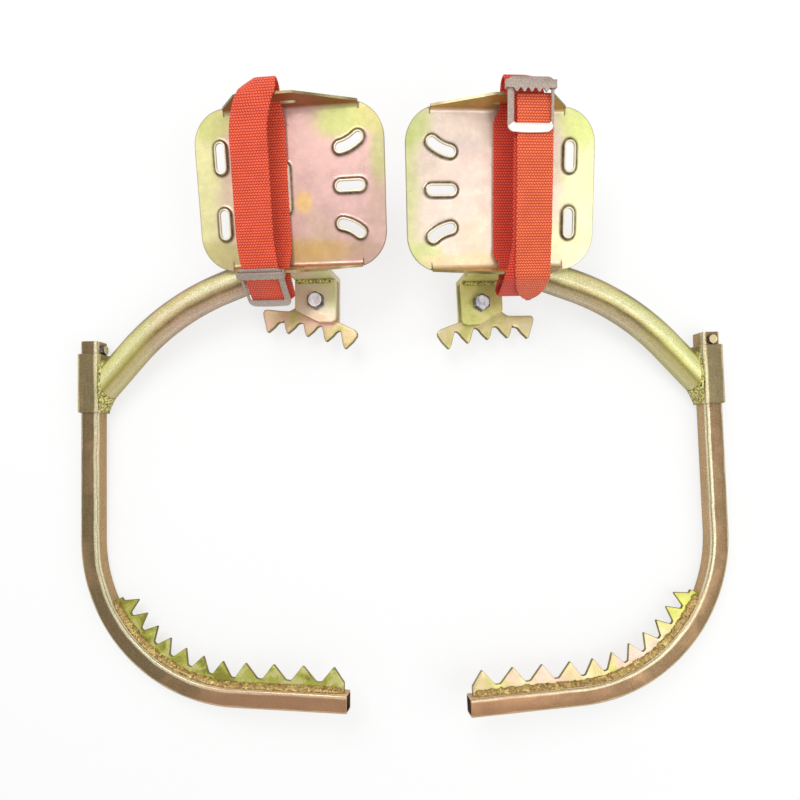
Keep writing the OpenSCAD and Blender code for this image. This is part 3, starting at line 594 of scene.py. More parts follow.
def banded(name, stops, metallic=0.45, blush=None):
    """A bent tube's plating: one tone per face and per corner round the tube (U), which is painted
    light and shade with painted highlights along the corners or crest, with the edges of the bands
    wandering along it (V), fine rubbed lines along the tube and speckle."""
    finish = Finish(name, metallic)
    u, v = finish.split(finish.where["UV"])[:2]
    wander = finish.noise(34.0, 3.0, 0.3)
    # Painted light and shade round the tube, one tone per face, with painted highlights
    colour = finish.ramp(finish.astray(u, wander, 0.036), stops, "LINEAR")
    drawn = (finish.math("MULTIPLY", u, 104.0), finish.math("MULTIPLY", v, 14.0))
    rubbed = finish.noise(1.0, 4.0, 0.1, finish.node("CombineXYZ", drawn).outputs[0])
    fine, soft = finish.grain()
    colour = finish.dim(colour, rubbed, 0.32, 0.68, 0.86, 1.10)
    colour = finish.dim(colour, fine, 0.38, 0.62, 0.66, 1.06)
    colour = finish.dim(colour, finish.noise(760.0, 3.0, rough=0.7), 0.4, 0.6, 0.78, 1.1)
    warm = finish.span(finish.noise(18.0, 3.0, 0.5), 0.5, 0.72, 0.0, 0.35)
    colour = finish.mix(warm, colour, tone(216, 170, 128))
    if blush is not None:
        start, end, amount, paint = blush
        there = finish.span(finish.astray(v, wander, 0.12), start, end, 0.0, amount)
        colour = finish.mix(there, colour, tone(*paint))
    normal = finish.bumpy(finish.noise(70.0, 2.0), 0.0002)
    normal = finish.bumpy(rubbed, 0.00005, 0.7, normal)
    return finish.done(colour, finish.span(soft, 0.3, 0.7, 0.25, 0.42), normal)


def weld_finish(name, stops, burnt):
    """A rough bead: gold, rust and dark burnt tones in small patches over a knobbly face."""
    finish = Finish(name, 0.45)
    patches = finish.noise(300.0, 4.0, 1.2)
    dark = finish.span(finish.noise(520.0, 3.0), 0.54, 0.68 - 0.08 * burnt, 0.0, burnt)
    colour = finish.mix(dark, finish.ramp(patches, stops), tone(74, 60, 30))
    normal = finish.bumpy(finish.noise(380.0, 4.0), 0.0005)
    return finish.done(colour, finish.span(patches, 0.3, 0.7, 0.3, 0.6), normal)


def bright_zinc(name, stains, metallic=0.45):
    """Bright zinc on bolts and nuts: blue white, lightly stained, with worn facets."""
    finish = Finish(name, metallic)
    colour = finish.ramp(finish.noise(240.0, 4.0, 0.5), stains)
    gloss = finish.span(finish.noise(60.0, 4.0), 0.3, 0.7, 0.26, 0.42)
    return finish.done(colour, gloss, finish.bumpy(finish.noise(700.0, 3.0), 0.000008))


def buckle_finish():
    """Warm grey nickel on pressed steel, sandy to the touch, paler where 'shine' marks it."""
    finish = Finish("buckle_nickel", 0.45)
    fine = finish.noise(1500.0, 3.0)
    colour = finish.ramp(fine, [(0.36, 140, 122, 110), (0.5, 178, 160, 148),
                                (0.66, 204, 190, 180)])
    colour = finish.mix(finish.mark("shine"), colour, tone(246, 243, 238))
    return finish.done(colour, finish.span(fine, 0.3, 0.7, 0.34, 0.5),
                       finish.bumpy(fine, 0.0001))


def webbing(name, slope, valley_shade, crest_highlight):
    """Coarse herringbone webbing in UV metres: rows across the strap, in each of which slanted
    stitches lean one way and in the next the other; each stitch is a small rounded bar, with
    painted shade in the valley round it, its tone on its slope and a painted highlight along its
    crest."""
    row_long, stitch_wide, lean = 0.00245, 0.0027, 0.55
    finish = Finish(name, 0.0)
    u, v = finish.split(finish.where["UV"])[:2]
    row = finish.math("DIVIDE", v, row_long)
    height = finish.math("FRACT", row)
    odd = finish.math("MODULO", finish.math("FLOOR", row), 2.0)
    way = finish.math("MULTIPLY_ADD", odd, 2.0, -1.0)
    slid = finish.math("MULTIPLY", finish.math("MULTIPLY", way, height), lean)
    across = finish.math("ADD", finish.math("DIVIDE", u, stitch_wide), slid)
    bar, rise = (finish.math("SINE", finish.math("MULTIPLY", part, math.pi))
                 for part in (finish.math("FRACT", across), height))
    hill = finish.math("POWER", finish.math("MULTIPLY", bar, rise), 0.6)
    # Painted shade in the valleys between stitches and a painted highlight along their crests
    colour = finish.ramp(finish.astray(hill, finish.noise(2600.0, 3.0), 0.3),
                         [(0.22, *valley_shade), (0.58, *slope), (0.95, *crest_highlight)], "LINEAR")
    colour = finish.dim(colour, finish.noise(60.0, 3.0, 0.4), 0.3, 0.7, 0.93, 1.05)
    feed(finish.tree, finish.shader, {"Sheen Weight": 0.25, "Sheen Roughness": 0.5})
    return finish.done(colour, 0.78, finish.bumpy(hill, 0.0005, 0.8))


# The pedal

def slot_line(middle, slant, run, bend):
    """Centre line of a pressed slot, which is a short arc, and its heading at each point."""
    slant = math.radians(slant)
    t = np.linspace(-1, 1, 9)[:, None]
    along = np.array([math.cos(slant), math.sin(slant)])
    across = np.array([-along[1], along[0]])
    line = np.array(middle) + along * t * run / 2 - across * bend * (1 - t ** 2)
    slope = np.gradient(line, axis=0)
    return line, np.arctan2(slope[:, 1], slope[:, 0])


def slot_ring(line, heading, off):
    """Closed ring at one distance from a slot's line: the line's points moved sideways, and
    half circles round its two ends."""
    normal = np.stack([-np.sin(heading), np.cos(heading)], 1) * off
    a = np.linspace(-math.pi / 2, math.pi / 2, 9)[1:-1]
    return np.vstack([line - normal, line[-1] + polar(off, a + heading[-1]),
                      (line + normal)[::-1], line[0] + polar(off, a + heading[0] + math.pi)])


# Middle, slant, length of the centre line and its bend, in millimetres and degrees
PRESSED_SLOTS = [
    ((-72.0, 31.0), 90, 18.6, 0.0),
    ((-72.0, -31.0), 90, 18.6, 0.0),
    ((56.0, 0.0), 0, 18.6, 0.0),
    ((56.0, 39.0), 26, 19.6, 1.3),
    ((56.0, -39.0), -26, 19.6, -1.3),
    ((-9.0, 0.0), 90, 36.6, 0.0),
]
# Across a pressed rim: distance from the slot's line on the flat blank, true distance, height, how
# much painted shade its slope gets and how much painted highlight its lip gets there
RIM_STEPS = [
    (RIM_HALF + 1.2, RIM_HALF + 1.2, 0.0, 0, 0), (RIM_HALF + 0.2, RIM_HALF + 0.2, 0.03, 0, 0),
    (8.2, 8.25, 0.3, 0.5, 0), (7.2, 7.4, 0.95, 1, 0), (6.3, 6.6, 1.7, 1, 0),
    (5.5, 5.9, 2.2, 1, 0.2), (4.8, 5.3, RIM_UP, 0.5, 0.7), (4.1, 4.75, 2.38, 0, 1),
    (3.4, 4.35, 2.1, 0.1, 0.7), (2.7, SLOT_HALF, 1.6, 0.5, 0.2), (2.0, SLOT_HALF, 0.3, 0.8, 0),
]


# A point of the blank is on a folded side where its X is nearer to the middle than this
ON_FLANGE = FLANGE_HALF + 0.01


def folded(flat):
    """The flat blank bent up: v beyond the fold runs round an arc and then up a sloped wall."""
    x, v = flat[:, 0], flat[:, 1]
    s = np.where(np.abs(x) < ON_FLANGE, np.abs(v) - FOLD_Y, -1)
    a = np.clip(s, 0, FOLD_ARC) / FOLD_R
    wall = np.maximum(s - FOLD_ARC, 0)
    y = np.where(s > 0, FOLD_Y + FOLD_R * np.sin(a) + wall * math.sin(SPLAY), np.abs(v))
    z = np.where(s > 0, FOLD_R - FOLD_R * np.cos(a) + wall * math.cos(SPLAY), 0)
    return np.stack([x, np.sign(v) * y, z], 1)


def pedal_outline():
    """Blank outline: round plate corners, a relief notch and a tapered side that folds up."""
    ends = (PEDAL_SHIFT + PEDAL_HALF_LONG - PEDAL_CORNER, PEDAL_SHIFT - PEDAL_HALF_LONG
            + PEDAL_CORNER)
    notch = FLANGE_HALF + 0.35
    arcs = (np.linspace(0, math.acos((notch - ends[0]) / PEDAL_CORNER), 12),
            np.linspace(math.acos((-notch - ends[1]) / PEDAL_CORNER), math.pi, 12))
    right, left = (np.stack([end + PEDAL_CORNER * np.cos(a), PEDAL_HALF_WIDE - PEDAL_CORNER
                             + PEDAL_CORNER * np.sin(a)], 1) for end, a in zip(ends, arcs))
    low = FOLD_Y - 1
    foot = FOLD_Y + FOLD_ARC + 0.85
    top = FOLD_Y + FOLD_ARC + WALL_RUN
    half = np.vstack([
        right,
        [(notch, low), (FLANGE_HALF, low), (FLANGE_HALF, foot), (FLANGE_TOP_RIGHT + 5, top - 2.2),
         (FLANGE_TOP_RIGHT, top - 0.3), (FLANGE_TOP_RIGHT - 3, top), (FLANGE_TOP_LEFT + 3, top),
         (FLANGE_TOP_LEFT, top - 1.2), (-FLANGE_HALF, foot), (-FLANGE_HALF, low), (-notch, low)],
        left,
    ])
    return resampled(np.vstack([half, half[::-1] * (1, -1)]), 2.4)


def strap_slot_outline(sign):
    """The strap slot in a folded side, as it lies on the flat blank."""
    half_long, r, middle_x, middle_y = 27, 2.4, -17.5, FOLD_Y + FOLD_ARC + SLOT_UP
    x = np.linspace(-half_long + r, half_long - r, 20)
    a = np.linspace(-math.pi / 2, math.pi / 2, 7)[1:-1]
    right = np.stack([half_long - r + r * np.cos(a), r * np.sin(a)], 1)
    low = np.stack([x, np.full(20, -r)], 1)
    loop = np.vstack([low, right, low[::-1] * (1, -1), (right * (-1, 1))[::-1]])
    return np.stack([loop[:, 0] + middle_x, sign * (loop[:, 1] + middle_y)], 1)


def pedal(side):
    """Pressed and folded plate: a triangulated blank, each point lifted by its rim's profile
    and then bent up at the folds, thickened downwards."""
    outline = pedal_outline()
    slots = [slot_line(*slot) for slot in PRESSED_SLOTS]
    rings = [[slot_ring(*slot, step[0]) for step in RIM_STEPS] for slot in slots]
    holes = [loops[-1] for loops in rings] + [strap_slot_outline(1), strap_slot_outline(-1)]
    ahead = np.roll(outline, -1, 0) - np.roll(outline, 1, 0)
    inset = outline + 1.4 * np.stack([-ahead[:, 1], ahead[:, 0]], 1) / np.linalg.norm(
        ahead, axis=1)[:, None]
    extra = [loop for loops in rings for loop in loops[:-1]]
    extra.append(inset[distance_to(inset, outline, closed=True) > 1.2])
    x = np.arange(-FLANGE_HALF + 2.4, FLANGE_HALF - 1, 2.6)
    keep = [(line, RIM_HALF + 2.2) for line, _ in slots]
    for sign in (-1, 1):
        for v in (FOLD_Y - 0.6, *(FOLD_Y + np.linspace(0, FOLD_ARC, 6))):
            extra.append(np.stack([x, np.full(len(x), sign * v)], 1))
        keep += [(np.array([(-FLANGE_HALF, sign * v), (FLANGE_HALF, sign * v)]), 1.6)
                 for v in (FOLD_Y, FOLD_Y + 2.7, FOLD_Y + FOLD_ARC)]
    flat, triangles = blank(outline, holes, 3.2, extra, keep)
    solid = folded(flat)
    # How much painted shade and painted highlight each point of a pressed rim gets
    rim, lip = np.zeros((2, len(flat)))
    for slot, loops in zip(slots, rings):
        for loop, (_, true, height, dark, painted_highlight) in zip(loops, RIM_STEPS):
            near = np.linalg.norm(flat[:, None] - loop[None], axis=2)
            hit = near.min(1) < 1e-3
            solid[hit, :2] = slot_ring(*slot, true)[near.argmin(1)[hit]]
            solid[hit, 2] = height
            rim[hit], lip[hit] = dark, painted_highlight
    # Where the painted shade of the folded sides goes, rising from the fold
    wall = np.clip((np.abs(flat[:, 1]) - FOLD_Y - 0.5) / (FOLD_ARC * 0.8), 0, 1)
    wall[np.abs(flat[:, 0]) >= ON_FLANGE] = 0
    edge = distance_to(flat, outline, closed=True) < 0.4
    sheet = put(side, "pedal_sheet", solid, triangles, [pedal_finish(side), PEDAL_EDGE],
                place=ON_PEDAL, uv=flat[triangles] * MM, closed=False,
                marks={"rim": rim, "lip": lip, "wall": wall, "edge": edge})
    return thickened(sheet, PLATE_T, even=False)


# Tubes and welds

def hook_tube(side):
    """The hook: down the leg, a quarter arc, then straight to its open end."""
    arc = (BEND, -LEG) + polar(BEND, np.linspace(math.pi, 1.5 * math.pi, 49))
    leg = [(0, y) for y in np.linspace(TUBE_TOP, -LEG, 9)[:-1]]
    tip = [(x, -LEG - BEND) for x in np.linspace(BEND, BEND + TIP, 6)[1:]]
    path = np.pad(np.vstack([leg, arc, tip]), ((0, 0), (0, 1)))
    return pipe(side, "hook_square_tube", path, rounded_square(TUBE, TUBE_CORNER),
                rounded_square(TUBE - 2 * TUBE_WALL, BORE_CORNER), HOOK_PLATING[side])


def sleeve(side):
    path = np.array([(0.0, y, 0.0) for y in np.linspace(SLEEVE_LENGTH, 0, 6)])
    return pipe(side, "sleeve_square", path, rounded_square(SLEEVE, SLEEVE_CORNER),
                rounded_square(SLEEVE_BORE, SLEEVE_BORE_CORNER), SLEEVE_PLATING[side],
                edge=0.6)


ARM_START = np.array([SLEEVE / 2, SLEEVE_LENGTH / 2 - 3, 0.0])
STEEP = np.array([math.cos(ARM_STEEP), math.sin(ARM_STEEP), 0.0])


def arm_tube(side):
    """The arm: straight off the sleeve, one arc, then straight under the pedal."""
    bend_in = ARM_START + ARM_LOWER * STEEP
    centre = bend_in + ARM_RADIUS * np.array([STEEP[1], -STEEP[0], 0.0])
    a = np.linspace(ARM_STEEP, ARM_FLAT, 25)
    arc = centre + ARM_RADIUS * np.stack([-np.sin(a), np.cos(a), 0 * a], 1)
    flat = np.array([math.cos(ARM_FLAT), math.sin(ARM_FLAT), 0.0])
    lower = ARM_START + np.array([0.0, 20.0, 34.0])[:, None] * STEEP
    under = arc[-1] + np.linspace(0, ARM_UNDER, 7)[1:, None] * flat
    return pipe(side, "arm_round_tube", np.vstack([lower, arc, under]), circle(ARM / 2),
                circle(ARM / 2 - ARM_WALL), ARM_PLATING[side], cut_x=SLEEVE / 2 + 0.02)


def sleeve_weld(side):
    """Collar of weld round the arm's foot: a rough fillet from the arm's skin down to the
    sleeve's face, its section a quadratic curve with random hills along it."""
    count, rows, floor = 96, 13, -12.3
    climb, more_inside, spread, hug = 6.0, 9.0, 5.0, 1.2
    a = np.arange(count) * 2 * math.pi / count
    radial = np.stack([-STEEP[1] * np.cos(a), STEEP[0] * np.cos(a), np.sin(a)], 1) * ARM / 2
    foot = ARM_START + radial - radial[:, :1] / STEEP[0] * STEEP
    outward = unit(foot - ARM_START)
    blend = np.clip(np.cos(a - math.pi), 0, 1)[:, None] ** 2
    high = foot + STEEP * (climb + more_inside * blend)
    low = foot + outward * spread
    low[:, 2] = np.clip(low[:, 2], -12.0, 12.0)
    low[:, 1] = np.clip(low[:, 1], 1.0, SLEEVE_LENGTH - 1.0)
    elbow = foot + outward * hug + STEEP
    t = np.linspace(0, 1, rows)[:, None, None]
    skin = high * (1 - t) ** 2 + 2 * elbow * t * (1 - t) + low * t ** 2
    hills = lumps((rows, count), 3 if side == "left" else 5, 1)[..., None]
    ripple = 0.35 * np.sin(a * 26 + 2 * np.sin(5 * a))[None, :, None]
    rise = (0.7 + hills + ripple) * np.sin(math.pi * t) ** 0.6
    skin = skin + rise * (0.7 * outward + 0.7 * STEEP)
    skin[..., 2] = np.maximum(skin[..., 2], floor)
    points = np.vstack([skin.reshape(-1, 3), foot + 0.2 * STEEP])
    return put(side, "sleeve_weld_collar", points, grid(rows + 1, count)[0], [GOLD_WELD],
               sharp=None)


def hook_point(s, h):
    """A point s back from the hook's open end along its centre line and h inwards from it."""
    s, h = np.broadcast_arrays(np.asarray(s, float), np.asarray(h, float))
    a = (s - TIP) / BEND
    straight = np.stack([BEND + TIP - s, -LEG - BEND + h], -1)
    bent = np.stack([BEND - (BEND - h) * np.sin(a), -LEG - (BEND - h) * np.cos(a)], -1)
    return np.where((s <= TIP)[..., None], straight, bent)


FIRST_TOOTH, FIRST_PITCH, PITCH_STEP, TEETH = 15.0, 32.5, 1.2, 11
TIP_H, ROOT_H = TUBE / 2 + 24.5, TUBE / 2 + 8.5
TOOTH = np.arange(TEETH)
TOOTH_S = FIRST_TOOTH + FIRST_PITCH * TOOTH - PITCH_STEP * TOOTH * (TOOTH - 1) / 2
TOOTH_GAP = FIRST_PITCH - PITCH_STEP * TOOTH
STRIP_START = 4.0
STRIP_END = TOOTH_S[-1] + 0.62 * TOOTH_GAP[-1]


def hook_teeth(side):
    """Strip along the hook: its toothed edge out and the edge against the tube back."""
    s = np.stack([TOOTH_S - 0.46 * TOOTH_GAP, TOOTH_S - 0.42 * TOOTH_GAP, TOOTH_S - 1, TOOTH_S,
                  TOOTH_S + 1, TOOTH_S + 0.38 * TOOTH_GAP, TOOTH_S + 0.43 * TOOTH_GAP], 1)
    h = np.array([ROOT_H + 0.8, ROOT_H + 1.6, TIP_H - 0.4, TIP_H, TIP_H - 0.4, ROOT_H + 1.6,
                  ROOT_H + 0.5])
    outline = np.vstack([
        hook_point([STRIP_START] * 2, [ROOT_H - 2, ROOT_H + 1.0]),
        hook_point(s, h).reshape(-1, 2)[2:],
        hook_point([STRIP_END], ROOT_H),
        hook_point(np.linspace(STRIP_END, STRIP_START, 60), TUBE / 2 - 0.2)])
    return cut_plate(side, "toothed_strip", outline, STRIP_T / 2, STRIP_T,
                     [TEETH_PLATING[side], PLATE_RIM], edge=0.7, step=5.0)


def hook_weld(side):
    """Two rough fillets along the strip, one on each face: a rounded section carried along
    the hook, its size rippled by the welder's steps and by random hills."""
    stations = np.linspace(STRIP_START + 0.6, STRIP_END - 1, 240)
    section = np.array([(0.0, 0.0), (5.6, 0.0), (5.3, 1.2), (4.0, 2.5), (2.6, 3.9), (1.2, 5.0),
                        (0.0, 5.4)])
    points, faces = [], []
    for k, face in enumerate((1, -1)):
        hills = lumps((len(stations), len(section)), 11 + k + 7 * (side == "right"), 2)
        size = 1 + 0.06 * np.sin(stations * 1.9)[:, None] + 0.26 * hills
        size[:, 0] = 1.0
        ends = np.clip(np.minimum(stations - stations[0], stations[-1] - stations) / 4, 0.1, 1)
        size = size * ends[:, None]
        h = TUBE / 2 - 0.05 + section[:, 0] * size
        z = face * (STRIP_T / 2 - 0.05 + section[:, 1] * size)
        skin = np.dstack([hook_point(stations[:, None], h), z]).reshape(-1, 3)
        faces += [[i + len(skin) * k for i in f[::face]]
                  for f in capped(len(stations), len(section))]
        points.append(skin)
    return put(side, "strip_weld_beads", np.vstack(points), faces, [STRIP_WELD], sharp=None)


def bracket_weld(side):
    """Lumpy bead along the top of the bracket's face, under the folded side."""
    start, length, bead_y, bead_z, bead_r = -22.2, 41.5, 20.4, 1.6, 2.3
    count, sides = 90, 12
    x = np.linspace(start, start + length, count)[:, None]
    a = np.arange(sides) * 2 * math.pi / sides
    hills = lumps((count, sides), 21 + (side == "right"), 2)
    ends = np.sqrt(np.clip(np.minimum(x - x[0], x[-1] - x) / 3, 0.02, 1))
    size = (bead_r + 0.25 * np.sin(x * 1.7) + 0.8 * hills) * ends
    points = np.dstack([BOLT_X + x + 0 * size, BOLT_Y + bead_y + size * np.cos(a),
                        LEG_TOP + bead_z + size * np.sin(a)])
    return put(side, "bracket_bead", points.reshape(-1, 3), capped(count, sides), [GOLD_WELD],
               sharp=None)


# Claw and fixings

CLAW_REACH, CLAW_ARC, CLAW_PITCH, CLAW_DEPTH, CLAW_SHIFT = 37.4, 215.0, 21.6, 13.4, -4.2


def claw(side):
    """Five hooked teeth whose tips follow a hollow arc, and the body up to its bolt."""
    x = (np.arange(5) - 2) * CLAW_PITCH
    tips = np.stack([CLAW_SHIFT + x, -CLAW_REACH - CLAW_ARC + np.sqrt(CLAW_ARC ** 2 - x ** 2)], 1)
    point = np.array([(-1.1, 0.5), (0, -0.1), (1.0, 0.6)])
    fall = np.array([(0.28, 0.52), (0.40, 0.86), (0.50, 1.0), (0.60, 1.02)])
    climb = np.array([(-0.31, 0.90), (-0.25, 0.68), (-0.17, 0.36)])
    size = np.array([CLAW_PITCH, CLAW_DEPTH])
    teeth = [tips[0] + point]
    for tip, after in zip(tips, tips[1:]):
        teeth += [tip + fall * size, after + climb * size, after + point]
    near = tips[0] + [(-3.2, 5), (-8, 15), (-9.6, 19.5), (-8.6, 22.6), (-6, 23.8), (8, 25.2),
                      (18, 26.6), (22.4, 29.8)]
    hub = [(-15.5, 2), (-10, 12), (-4, 16), (4, 16), (10, 12), (15, 4)]
    far = tips[-1] + [(-18, 27), (6, 21.4), (9, 19.2), (10, 15.5), (6.6, 8.2)]
    outline = np.vstack([near, hub, far, np.vstack(teeth)[::-1]])
    place = shift(BOLT_X, BOLT_Y, CLAW_MIDDLE) @ turn("z", CLAW_TURN[side])
    return cut_plate(side, "claw_plate", outline[::-1], CLAW_T / 2, CLAW_T,
                     [CLAW_PLATING[side], PLATE_RIM], edge=0.8, step=4.5, place=place,
                     holes=[circle(BOLT_R + BOLT_PLAY, 32)])


def hexagon_bolt(side, name, flats, head, shank_r, shank, place, face):
    """Chamfered hexagon head and shank: radius over angle and height, the lesser of the
    hexagon's and a cone's, then the shank with a chamfered end."""
    count, half = 96, flats / 2
    a = np.arange(count) * 2 * math.pi / count
    hexagon = half / np.cos((a + math.pi / 6) % (math.pi / 3) - math.pi / 6)
    # Radius and height of each ring; the outer rings are cut by the hexagon
    steps = np.array([(0.02, -shank), (shank_r - 0.8, -shank), (shank_r, -shank + 0.8),
                      (shank_r, -0.01), (half * 0.97, 0.0), (half * 1.16, 0.25),
                      (half * 1.16, head - 1.1), (half * 1.08, head - 0.6), (half * 0.88, head),
                      (half * 0.66, head), (half * 0.6, head - 0.2), (0.02, head - 0.2)])
    rings = np.minimum(hexagon, steps[:, :1])
    points = np.stack([rings * np.cos(a), rings * np.sin(a), steps[:, 1:] + 0 * rings], -1)
    faces = capped(len(steps), count)
    # The head's underside, flanks and chamfer take the darker material: painted shade
    on_side = [3 <= k // count <= 7 for k in range(len(faces))]
    return put(side, name, points.reshape(-1, 3), faces, [face, BOLT_SIDE_SHADE], place=place,
               sharp=28, face_material=on_side)


def claw_bolt(side):
    return hexagon_bolt(side, "claw_hexagon_bolt", BOLT_FLATS, BOLT_HEAD, BOLT_R,
                        LEG_TOP - BOLT_END, shift(BOLT_X, BOLT_Y, LEG_TOP), BOLT_FACE[side])


def stop_bolt(side):
    lean = turn("y", 90) if side == "left" else np.eye(4)
    place = shift(0, SLEEVE_LENGTH + STOP_UP, 0) @ lean @ shift(0, 0, TUBE / 2)
    return hexagon_bolt(side, "stop_hexagon_bolt", STOP_FLATS, STOP_HEAD, STOP_R, STOP_SHANK,
                        place, STOP_FACE)


# Webbing and buckles

# Y and Z of the slot in a folded side's middle and of the side's lip, and the webbing's heights
FOLD_MIDDLE, CLEAR = FOLD_R + PLATE_T / 2, STRAP_T / 2 + 0.3
SLOT_Y = FOLD_Y + FOLD_MIDDLE * math.cos(SPLAY) + SLOT_UP * math.sin(SPLAY)
SLOT_Z = FOLD_R - FOLD_MIDDLE * math.sin(SPLAY) + SLOT_UP * math.cos(SPLAY)
LIP_Y = SLOT_Y + (WALL_RUN - SLOT_UP) * math.sin(SPLAY)
LIP_Z = SLOT_Z + (WALL_RUN - SLOT_UP) * math.cos(SPLAY)
OVER_Z, LOW_Z = LIP_Z + CLEAR, RIM_UP + CLEAR
HANG = {"left": 25.0, "right": 19.0}
FAR_LOOP = {"left": 14.0, "right": 16.0}
# Middle of the lower layer, upper layer, far loop and hanging loop, across the pedal
STRAP_X = {"left": (-23, -33, -24, -29), "right": (-13, -25, -17, -18)}
TAIL_X = -26.5
TAIL_STEP = STRAP_T + 0.4
TAIL_Z = OVER_Z + 2.6 + TAIL_STEP


def ribbon_section(width):
    """Flat section with round edges, as (across, through), turning left from one edge."""
    half, r = width / 2 - STRAP_T / 2, STRAP_T / 2
    edge = polar(r, np.linspace(-math.pi / 2, math.pi / 2, 5)) + (half, 0)
    x = np.linspace(half, -half, 15)[1:-1]
    top = np.stack([x, np.full(len(x), r)], 1)
    return np.vstack([edge, top, edge[::-1] * (-1, 1), (top * (1, -1))[::-1]])


def ribbon(side, name, route, width, tones, closed, reshape):
    """Webbing along a route of Y, Z and X over the pedal: a flat section carried along it, its
    width across X; UV is in metres across and along. Also gives the length of its run."""
    path = smooth_path(route, 2.2, closed)
    section = ribbon_section(width)
    flat = path[:, :2]
    run = run_of(np.vstack([flat, flat[:1]]) if closed else flat) * MM
    around = np.vstack([flat[-1:], flat, flat[:1]])
    ahead = unit(around[2:] - around[:-2] if closed else np.gradient(flat, axis=0))
    x = path[:, 2:] + section[:, 0]
    y = flat[:, :1] - ahead[:, 1:] * section[:, 1]
    z = flat[:, 1:] + ahead[:, :1] * section[:, 1]
    x, y = reshape(x, y, section[:, 0] / width)
    faces, cr, cc = grid(len(path), len(section), closed)
    uv = [*grid_uv(cr, cc, np.r_[section[:, 0], section[0, 0]] * MM, run)]
    if not closed:
        faces = capped(len(path), len(section))
        first, last = (np.stack([section[:, 0] * MM, 0 * section[:, 0] + end], 1)
                       for end in (0, run[-1]))
        uv += [first[::-1], last]
    return put(side, name, np.dstack([x, y, z]).reshape(-1, 3), faces, [webbing(*tones)],
               place=ON_PEDAL, sharp=50, uv=uv), run[-1]


def strap(side):
    """The webbing loop: along the plate between the two slots, out and round over the far
    side, back over the boot's place, and down the near side in a hanging loop."""
    far, near = LIP_Y + FAR_LOOP[side], -LIP_Y - HANG[side]
    lower_x, upper_x, loop_x, hang_x = STRAP_X[side]
    route = [
        (-SLOT_Y, SLOT_Z, loop_x), (-70, SLOT_Z - 1.5, loop_x), (-61, LOW_Z + 1.6, lower_x),
        (-50, LOW_Z, lower_x), (-20, LOW_Z, lower_x), (20, LOW_Z, lower_x), (50, LOW_Z, lower_x),
        (61, LOW_Z + 1.6, lower_x), (70, SLOT_Z - 1.5, loop_x), (SLOT_Y, SLOT_Z, loop_x),
        (SLOT_Y + 6, SLOT_Z + 1, loop_x), (far - 3.5, SLOT_Z + 4, loop_x),
        (far, SLOT_Z + 10, loop_x), (far - 0.5, LIP_Z - 3, loop_x),
        (far - 4, OVER_Z - 2.2, loop_x), (LIP_Y + 3, OVER_Z - 0.2, loop_x),
        (LIP_Y - 8, OVER_Z + 0.6, (loop_x + upper_x) / 2), (50, OVER_Z + 1.5, upper_x),
        (20, OVER_Z + 2.4, upper_x), (-20, OVER_Z + 2.4, upper_x), (-50, OVER_Z + 1.5, upper_x),
        (-LIP_Y + 8, OVER_Z + 0.6, (upper_x + hang_x) / 2), (-LIP_Y - 2, OVER_Z, hang_x),
        (-LIP_Y - 7.5, OVER_Z - 5, hang_x), (near, LIP_Z - 20, hang_x),
        (near - 1, LIP_Z - 25, hang_x), (near + 3, LIP_Z - 28.5, loop_x),
        (near + 8, LIP_Z - 27, loop_x), (-SLOT_Y - 7, SLOT_Z - 2, loop_x),
    ]

    def far_fold(x, y, across):
        """Over the far side the webbing is pinched: its outer loop falls away at one edge."""
        share = np.clip((across + 0.5) / 0.45, 0, 1)
        keep = 0.25 + 0.75 * share ** 0.8 if side == "left" else 0.86 + 0.14 * share
        return x, y - np.maximum(y - (LIP_Y + 1.6), 0) * (1 - keep)

    return ribbon(side, "strap_webbing", route, STRAP_W,
                  (side + "_webbing_red", *STRAP_TONES[side]), True, far_fold)


def strap_tail(side):
    """Spare end: out of the buckle, over the upper layer and the near side, cut to a point."""
    end = -LIP_Y - HANG[side] - 6
    route = [(78, TAIL_Z - 2.4), (72, TAIL_Z - 1.8), (62, TAIL_Z - 0.5), (46, TAIL_Z - 0.1),
             (0, TAIL_Z + 0.2), (-40, TAIL_Z - 0.3), (-LIP_Y + 8, OVER_Z + 0.7 + TAIL_STEP),
             (-LIP_Y - 2.5, OVER_Z + TAIL_STEP), (-LIP_Y - 8.5, OVER_Z - 2.4),
             (end + 3.5, OVER_Z - 18), (end, OVER_Z - 24)]

    def pointed(x, y, across):
        """The last rows draw in towards a rounded point, leaning to one side."""
        room = np.clip((y - end) / 24, 0.0, 1.0)
        narrow = np.sqrt(np.clip(1 - (1 - room) ** 2, 0.02, 1))
        return TAIL_X - 4 * (1 - room) + (x - TAIL_X) * narrow, y

    return ribbon(side, "strap_tail_webbing", [(y, z, TAIL_X) for y, z in route], TAIL_W,
                  ("tail_webbing_orange", *STRAP_TONES["tail"]), False, pointed)


BUCKLE_W, BUCKLE_L, BUCKLE_BAR, BUCKLE_T = 44.0, 46.0, 7.0, 2.0
WINDOW, WINDOW_L = 35.0, BUCKLE_L - 2 * BUCKLE_BAR
BAR_TEETH, BAR_GAP, WRAP_T, WRAP_IN = 5, 0.3, 1.2, 4.0
BUCKLE_X = {"left": -29, "right": -21}
TOOTH_DEPTH = {"left": 0.5, "right": 1.7}
BAR_SHINE = {"left": 0.1, "right": 0.95}


def buckle_place(side):
    """Left: on the hanging loop's sloped run. Right: over the spare end at the far side."""
    if side == "right":
        return ON_PEDAL @ shift(BUCKLE_X[side], LIP_Y - BUCKLE_L / 2 + 12, TAIL_Z + CLEAR)
    start = np.array([LIP_Y + 7.5, OVER_Z - 5])
    end = np.array([LIP_Y + HANG[side], LIP_Z - 20])
    slope = math.degrees(math.atan2(start[1] - end[1], end[0] - start[0]))
    back = flip(1, -1, 1)
    return (ON_PEDAL @ back @ shift(BUCKLE_X[side], *(start + end) / 2) @ turn("x", -slope)
            @ shift(0, -5.0, CLEAR) @ back)


